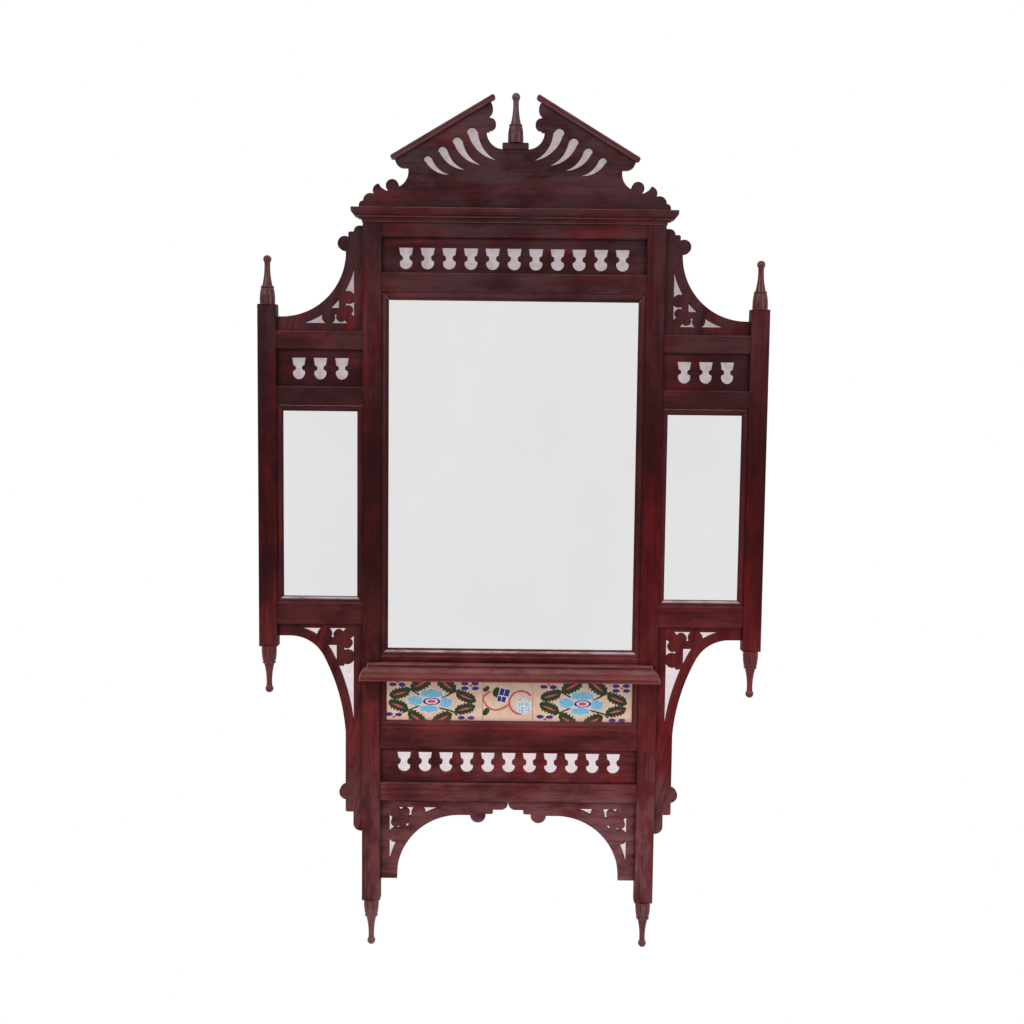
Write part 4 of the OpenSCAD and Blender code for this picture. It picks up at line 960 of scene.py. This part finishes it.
# %% [markdown]
# The whole tiles carry a large flower: four scalloped petals round an oval eye, stems from between
# the petals, eight leaves, and berries in the corners.

# %% The flower tiles
STEM_W, BERRY, BUD, PETAL_LOBES, PETAL_RIM = 2.4, (5.6, 3.0), (2.6, 1.8), 6, 1.08
# middles and half sizes; the leaves' turns are in degrees
PETALS = [
    ((0, 12.0), (17.4, 6.8)), ((-4, -11.4), (14.8, 5.8)),
    ((-25.2, 1), (11.4, 7.6)), ((22.4, -1.5), (10.0, 7.8)),
]
EYE = [((14.6, 6.4), WHITE), ((13.6, 5.7), DARK_BLUE), ((9.4, 4.1), WHITE), ((6.6, 2.9), CORAL)]
STEMS = [
    [(-15, 8), (-31, 17), (-38.5, 22)], [(16.4, 6), (33, 14.6), (44, 18.6)],
    [(-19.3, -7), (-32.4, -13), (-44.5, -18)], [(11.4, -9.6), (34, -16), (39, -21)],
]
LEAVES = [
    ((-16.5, 27.4), (18.4, 10.4), 28), ((22.5, 26.4), (18.4, 10.4), -37),
    ((-49, 12.3), (16.8, 8.8), 16), ((-51, -6.7), (16.8, 8.8), -22),
    ((52.5, 7.3), (17.0, 8.8), -23), ((51, -11), (16.6, 8.6), 15),
    ((-22, -26.6), (17.6, 9.8), -38), ((16, -26.6), (17.6, 9.8), 28),
]
BERRIES = [
    (-59.6, 25.7), (-45.3, 25.5), (50.7, 20.9), (67, 20.9), (50.7, 28.2), (66.3, 28.4),
    (-64.6, -20.6), (-50.6, -21.1), (45.6, -25.2), (60.2, -25.2),
]
BUDS = [(-52.5, 29.5), (59.4, 25.0), (-57.6, -24.6), (53.0, -28.8)]


def paint_flower(tap, place, colour):
    for points in STEMS:
        for start, end in zip(points, points[1:]):
            colour = daub(colour, stroke(tap, place, start, end, STEM_W), LEAF_GREEN, 0.25)
    for middle, half, turn in LEAVES:
        colour = leaf(tap, place, colour, middle, half, turn, LEAF_GREEN, CORAL)
    petals = [lobed(tap, place, middle, half, PETAL_LOBES) for middle, half in PETALS]
    for size in petals:
        colour = daub(colour, size / PETAL_RIM, WHITE)
    wash = noise(tap, place, 0.35, Detail=4.0).step(0.4, 0.62).over(LIGHT_BLUE, PALE_BLUE)
    for size in petals:
        colour = daub(colour, size, wash)
    for half, pigment in EYE:
        colour = daub(colour, ellipse(tap, place, (0, 0), half), pigment)
    for middle in BERRIES:
        colour = daub(colour, ellipse(tap, place, middle, BERRY), DARK_BLUE, 0.12)
    for middle in BUDS:
        colour = daub(colour, ellipse(tap, place, middle, BUD), CORAL, 0.15)
    return colour


print("Leaves:", len(LEAVES), "petals:", len(PETALS), "berries:", len(BERRIES))

# %% [markdown]
# The narrow tile between them carries a pink scroll, a blue bud in a green cup and a blossom made
# of pale dots. A Voronoi texture gives evenly scattered dots without drawing each of them.

# %% The scroll tile
VINE = [
    (-27.9, 15.3), (-37.8, 8.4), (-37.5, 1.5), (-31.7, -6.9),
    (-25.6, -11.5), (-17.9, -13.0), (-8.7, -10.7), (0.5, -4.6),
]
VINE_W, RING_MIDDLE, RING_R, RING_HALF_W, RING_GAP_Z = 2.9, (20.4, -0.8), 18.0, 1.5, 9.5
CUP, CUP_R, CUP_EDGE_X = (-15.6, 14.4), 7.9, -13.2
BUD_BLOCKS, BLOCK_TURN = [((-5.0, 14.8), (7.9, 5.7)), ((-9.3, 4.4), (6.8, 4.5))], -12
SMALL_LEAVES = [((-32.9, 19.9), (5.5, 4.0), 40), ((-33.2, -15.5), (7.0, 4.6), 50)]
BLOSSOM, BLOSSOM_R, BLOSSOM_LOBES = (24.2, -5.4), 12.5, 7
DOT_SCALE, DOT_SPREAD = 0.29, 0.5
PALE_DOT, BLUE_DOT = srgb(160, 212, 236), srgb(98, 178, 214)


def paint_vine(tap, place, colour):
    vine = stroke(tap, place, *VINE[:2], VINE_W)
    for start, end in zip(VINE[1:], VINE[2:]):
        vine = vine.low(stroke(tap, place, start, end, VINE_W))
    colour = daub(colour, vine, PINK)
    x, z, _ = place.parts()
    off_ring = abs(ellipse(tap, place, RING_MIDDLE, (RING_R, RING_R)) - 1)
    open_side = (x - RING_MIDDLE[0]).step(-0.4, 0.4) * (z - RING_GAP_Z).step(0.4, -0.4)
    return daub(colour, off_ring * (RING_R / RING_HALF_W) + open_side * 2, PINK)


def paint_bud(tap, place, colour):
    x, _, _ = place.parts()
    cup = ellipse(tap, place, CUP, (CUP_R, CUP_R)).high((x - CUP_EDGE_X) + 1)
    colour = daub(colour, cup, LEAF_GREEN)
    for middle, half in BUD_BLOCKS:
        block = box(tap, place, middle, half, BLOCK_TURN)
        bar = box(tap, place, (middle[0] - 0.3, middle[1]), (0.4, half[1] * 1.1), BLOCK_TURN)
        colour = daub(colour, block / 1.08, WHITE)
        colour = daub(daub(colour, block * 1.06, DARK_BLUE), bar, WHITE, 0.2)
    return colour


def paint_blossom(tap, place, colour):
    feeds = {"Vector": place, "Scale": DOT_SCALE, "Randomness": DOT_SPREAD}
    cells = tap.node("ShaderNodeTexVoronoi", feeds, out="Distance")
    tint, spread, _ = Tap(tap.tree, cells.socket.node.outputs["Color"]).parts()
    dots = cells + spread * 0.08
    blue = tint.step(0.3, 0.7).over(PALE_DOT, BLUE_DOT)
    half = (BLOSSOM_R, BLOSSOM_R)
    blossom = inside(lobed(tap, place, BLOSSOM, half, BLOSSOM_LOBES), 0.05)
    colour = (blossom * dots.step(0.74, 0.66)).over(colour, WHITE)
    return (blossom * dots.step(0.54, 0.46)).over(colour, blue)


def paint_scroll(tap, place, colour):
    colour = paint_bud(tap, place, paint_vine(tap, place, colour))
    for middle, half, turn in SMALL_LEAVES:
        colour = leaf(tap, place, colour, middle, half, turn, LEAF_GREEN, LEAF_GREEN)
    return paint_blossom(tap, place, colour)


print("Strokes of the vine:", len(VINE) - 1)

# %% [markdown]
# The glaze pools and crazes. A Voronoi texture set to its distance from an edge gives the fine net
# of cracks, and dirt has gathered in it. Behind the painted face the tile is bare clay.

# %% Glaze and fire the tiles
CRACK_DIRT, GRIME, CLAY = srgb(150, 110, 86), srgb(156, 96, 76), srgb(206, 160, 124)
CRACK_SCALE, CRACK_W = 0.30, 0.035
GRIME_HEIGHTS, FACE_DEPTHS = (-0.6450, -0.6560), (-0.0088, -0.0094)
# tile, material, middle of the pattern in X and Z, and what is painted on it
TILES = [
    ("tile_left", "flower_tile_left", (-0.1190, -0.6328), paint_flower),
    ("tile_right", "flower_tile_right", (0.1124, -0.6342), paint_flower),
    ("tile_centre", "scroll_tile", (-0.0024, -0.6324), paint_scroll),
]


def painted_tile(name, middle, paint):
    material, tap, shader = new_material(name, Specular_IOR_Level=0.25)
    place = tile_place(tap, middle)
    mottle = noise(tap, place, 0.05, Detail=5.0)
    colour = paint(tap, place, mottle.step(0.35, 0.68).over(CREAM, DARK_CREAM))
    feeds = {"Vector": place, "Scale": CRACK_SCALE}
    craze = tap.node("ShaderNodeTexVoronoi", feeds, feature="DISTANCE_TO_EDGE").step(CRACK_W, 0.0)
    colour = (craze * 0.22).over(colour, CRACK_DIRT)
    _, depth, height = here(tap).parts()
    colour = ((mottle * 0.02 + height).step(*GRIME_HEIGHTS) * 0.4).over(colour, GRIME)
    face = depth.step(*FACE_DEPTHS)
    finish(
        material, shader, Base_Color=face.over(CLAY, colour),
        Roughness=0.75 - face * (0.58 - mottle * 0.12),
        Normal=bump(tap, mottle - craze * 0.4, 0.25, 0.0003),
    )
    return material


for tile, name, middle, paint in TILES:
    dress(tile, painted_tile(name, middle, paint))
print("Finished so far:", len(finished), "of", len(nodes))

# %% [markdown]
# ## The back
# Behind the glass are thin boards of plain softwood, brown with age, which are looked at when the
# mirror is taken down. Bare wood does show its rings: a sine wave over a stretched noise makes them
# wander more than a Wave texture would.

# %% Softwood
GROWTH = dict(across=30.0, along=1.6, Detail=3.0, Distortion=1.2)
FIBRES = dict(across=420.0, along=12.0, Detail=4.0, Roughness=0.6)
DAMP = dict(across=9.0, along=7.0, Detail=5.0, Roughness=0.6)
RING_RATE, DAMP_STAIN = 40, srgb(70, 48, 34)


def bare_wood(name, place_of, pale, dark):
    material, tap, shader = new_material(name, Specular_IOR_Level=0.25)
    place = place_of(tap)
    growth, fibres, damp = [stretched(tap, place, **layer) for layer in (GROWTH, FIBRES, DAMP)]
    rings = (growth * RING_RATE).sine() * 0.5 + 0.5
    colour = (rings * 0.45 + fibres.step(0.4, 0.65) * 0.45).over(pale, dark)
    colour = (damp.step(0.5, 0.72) * 0.5).over(colour, DAMP_STAIN)
    finish(
        material, shader, Base_Color=colour, Roughness=0.62 + fibres * 0.2,
        Normal=bump(tap, rings * 0.4 + fibres * 0.6, 0.35, 0.0004),
    )
    return material


back_board = bare_wood("back_board", straight(0, 0.02, 1), srgb(158, 118, 78), srgb(112, 76, 48))
dowel_wood = bare_wood("dowel_wood", straight(0, 0, 1), srgb(206, 168, 122), srgb(176, 134, 92))
print("Damp stain:", [round(v, 3) for v in DAMP_STAIN])

# %% [markdown]
# Steel pins hold the boards, and two brass keyhole plates, with their screws, are let into the
# stiles. Old metal tarnishes in spots, where it is darker, rougher and less of a mirror.

# %% Steel and brass
def old_metal(name, bright, dull, roughness):
    material, tap, shader = new_material(name)
    spots = noise(tap, here(tap), 260.0, Detail=6.0, Roughness=0.65)
    brushed = noise(tap, here(tap), 1900.0, Detail=2.0)
    tarnish = spots.step(0.42, 0.62)
    finish(
        material, shader, Base_Color=tarnish.over(bright, dull), Metallic=1 - tarnish * 0.45,
        Roughness=roughness + tarnish * 0.3 + brushed * 0.08,
        Normal=bump(tap, spots + brushed * 0.3, 0.2, 0.0001),
    )
    return material


pin_steel = old_metal("pin_steel", srgb(150, 148, 146), srgb(96, 66, 48), 0.35)
brass = old_metal("brass", srgb(212, 172, 96), srgb(122, 92, 54), 0.26)
BACK_RULES = {"backboard": back_board, "pins": pin_steel, "dowels": dowel_wood, "plate": brass}
for name in nodes:
    for word, material in BACK_RULES.items():
        if word in name:
            dress(name, material)
print("Pieces without a finish:", sorted(set(nodes) - finished))

# %% [markdown]
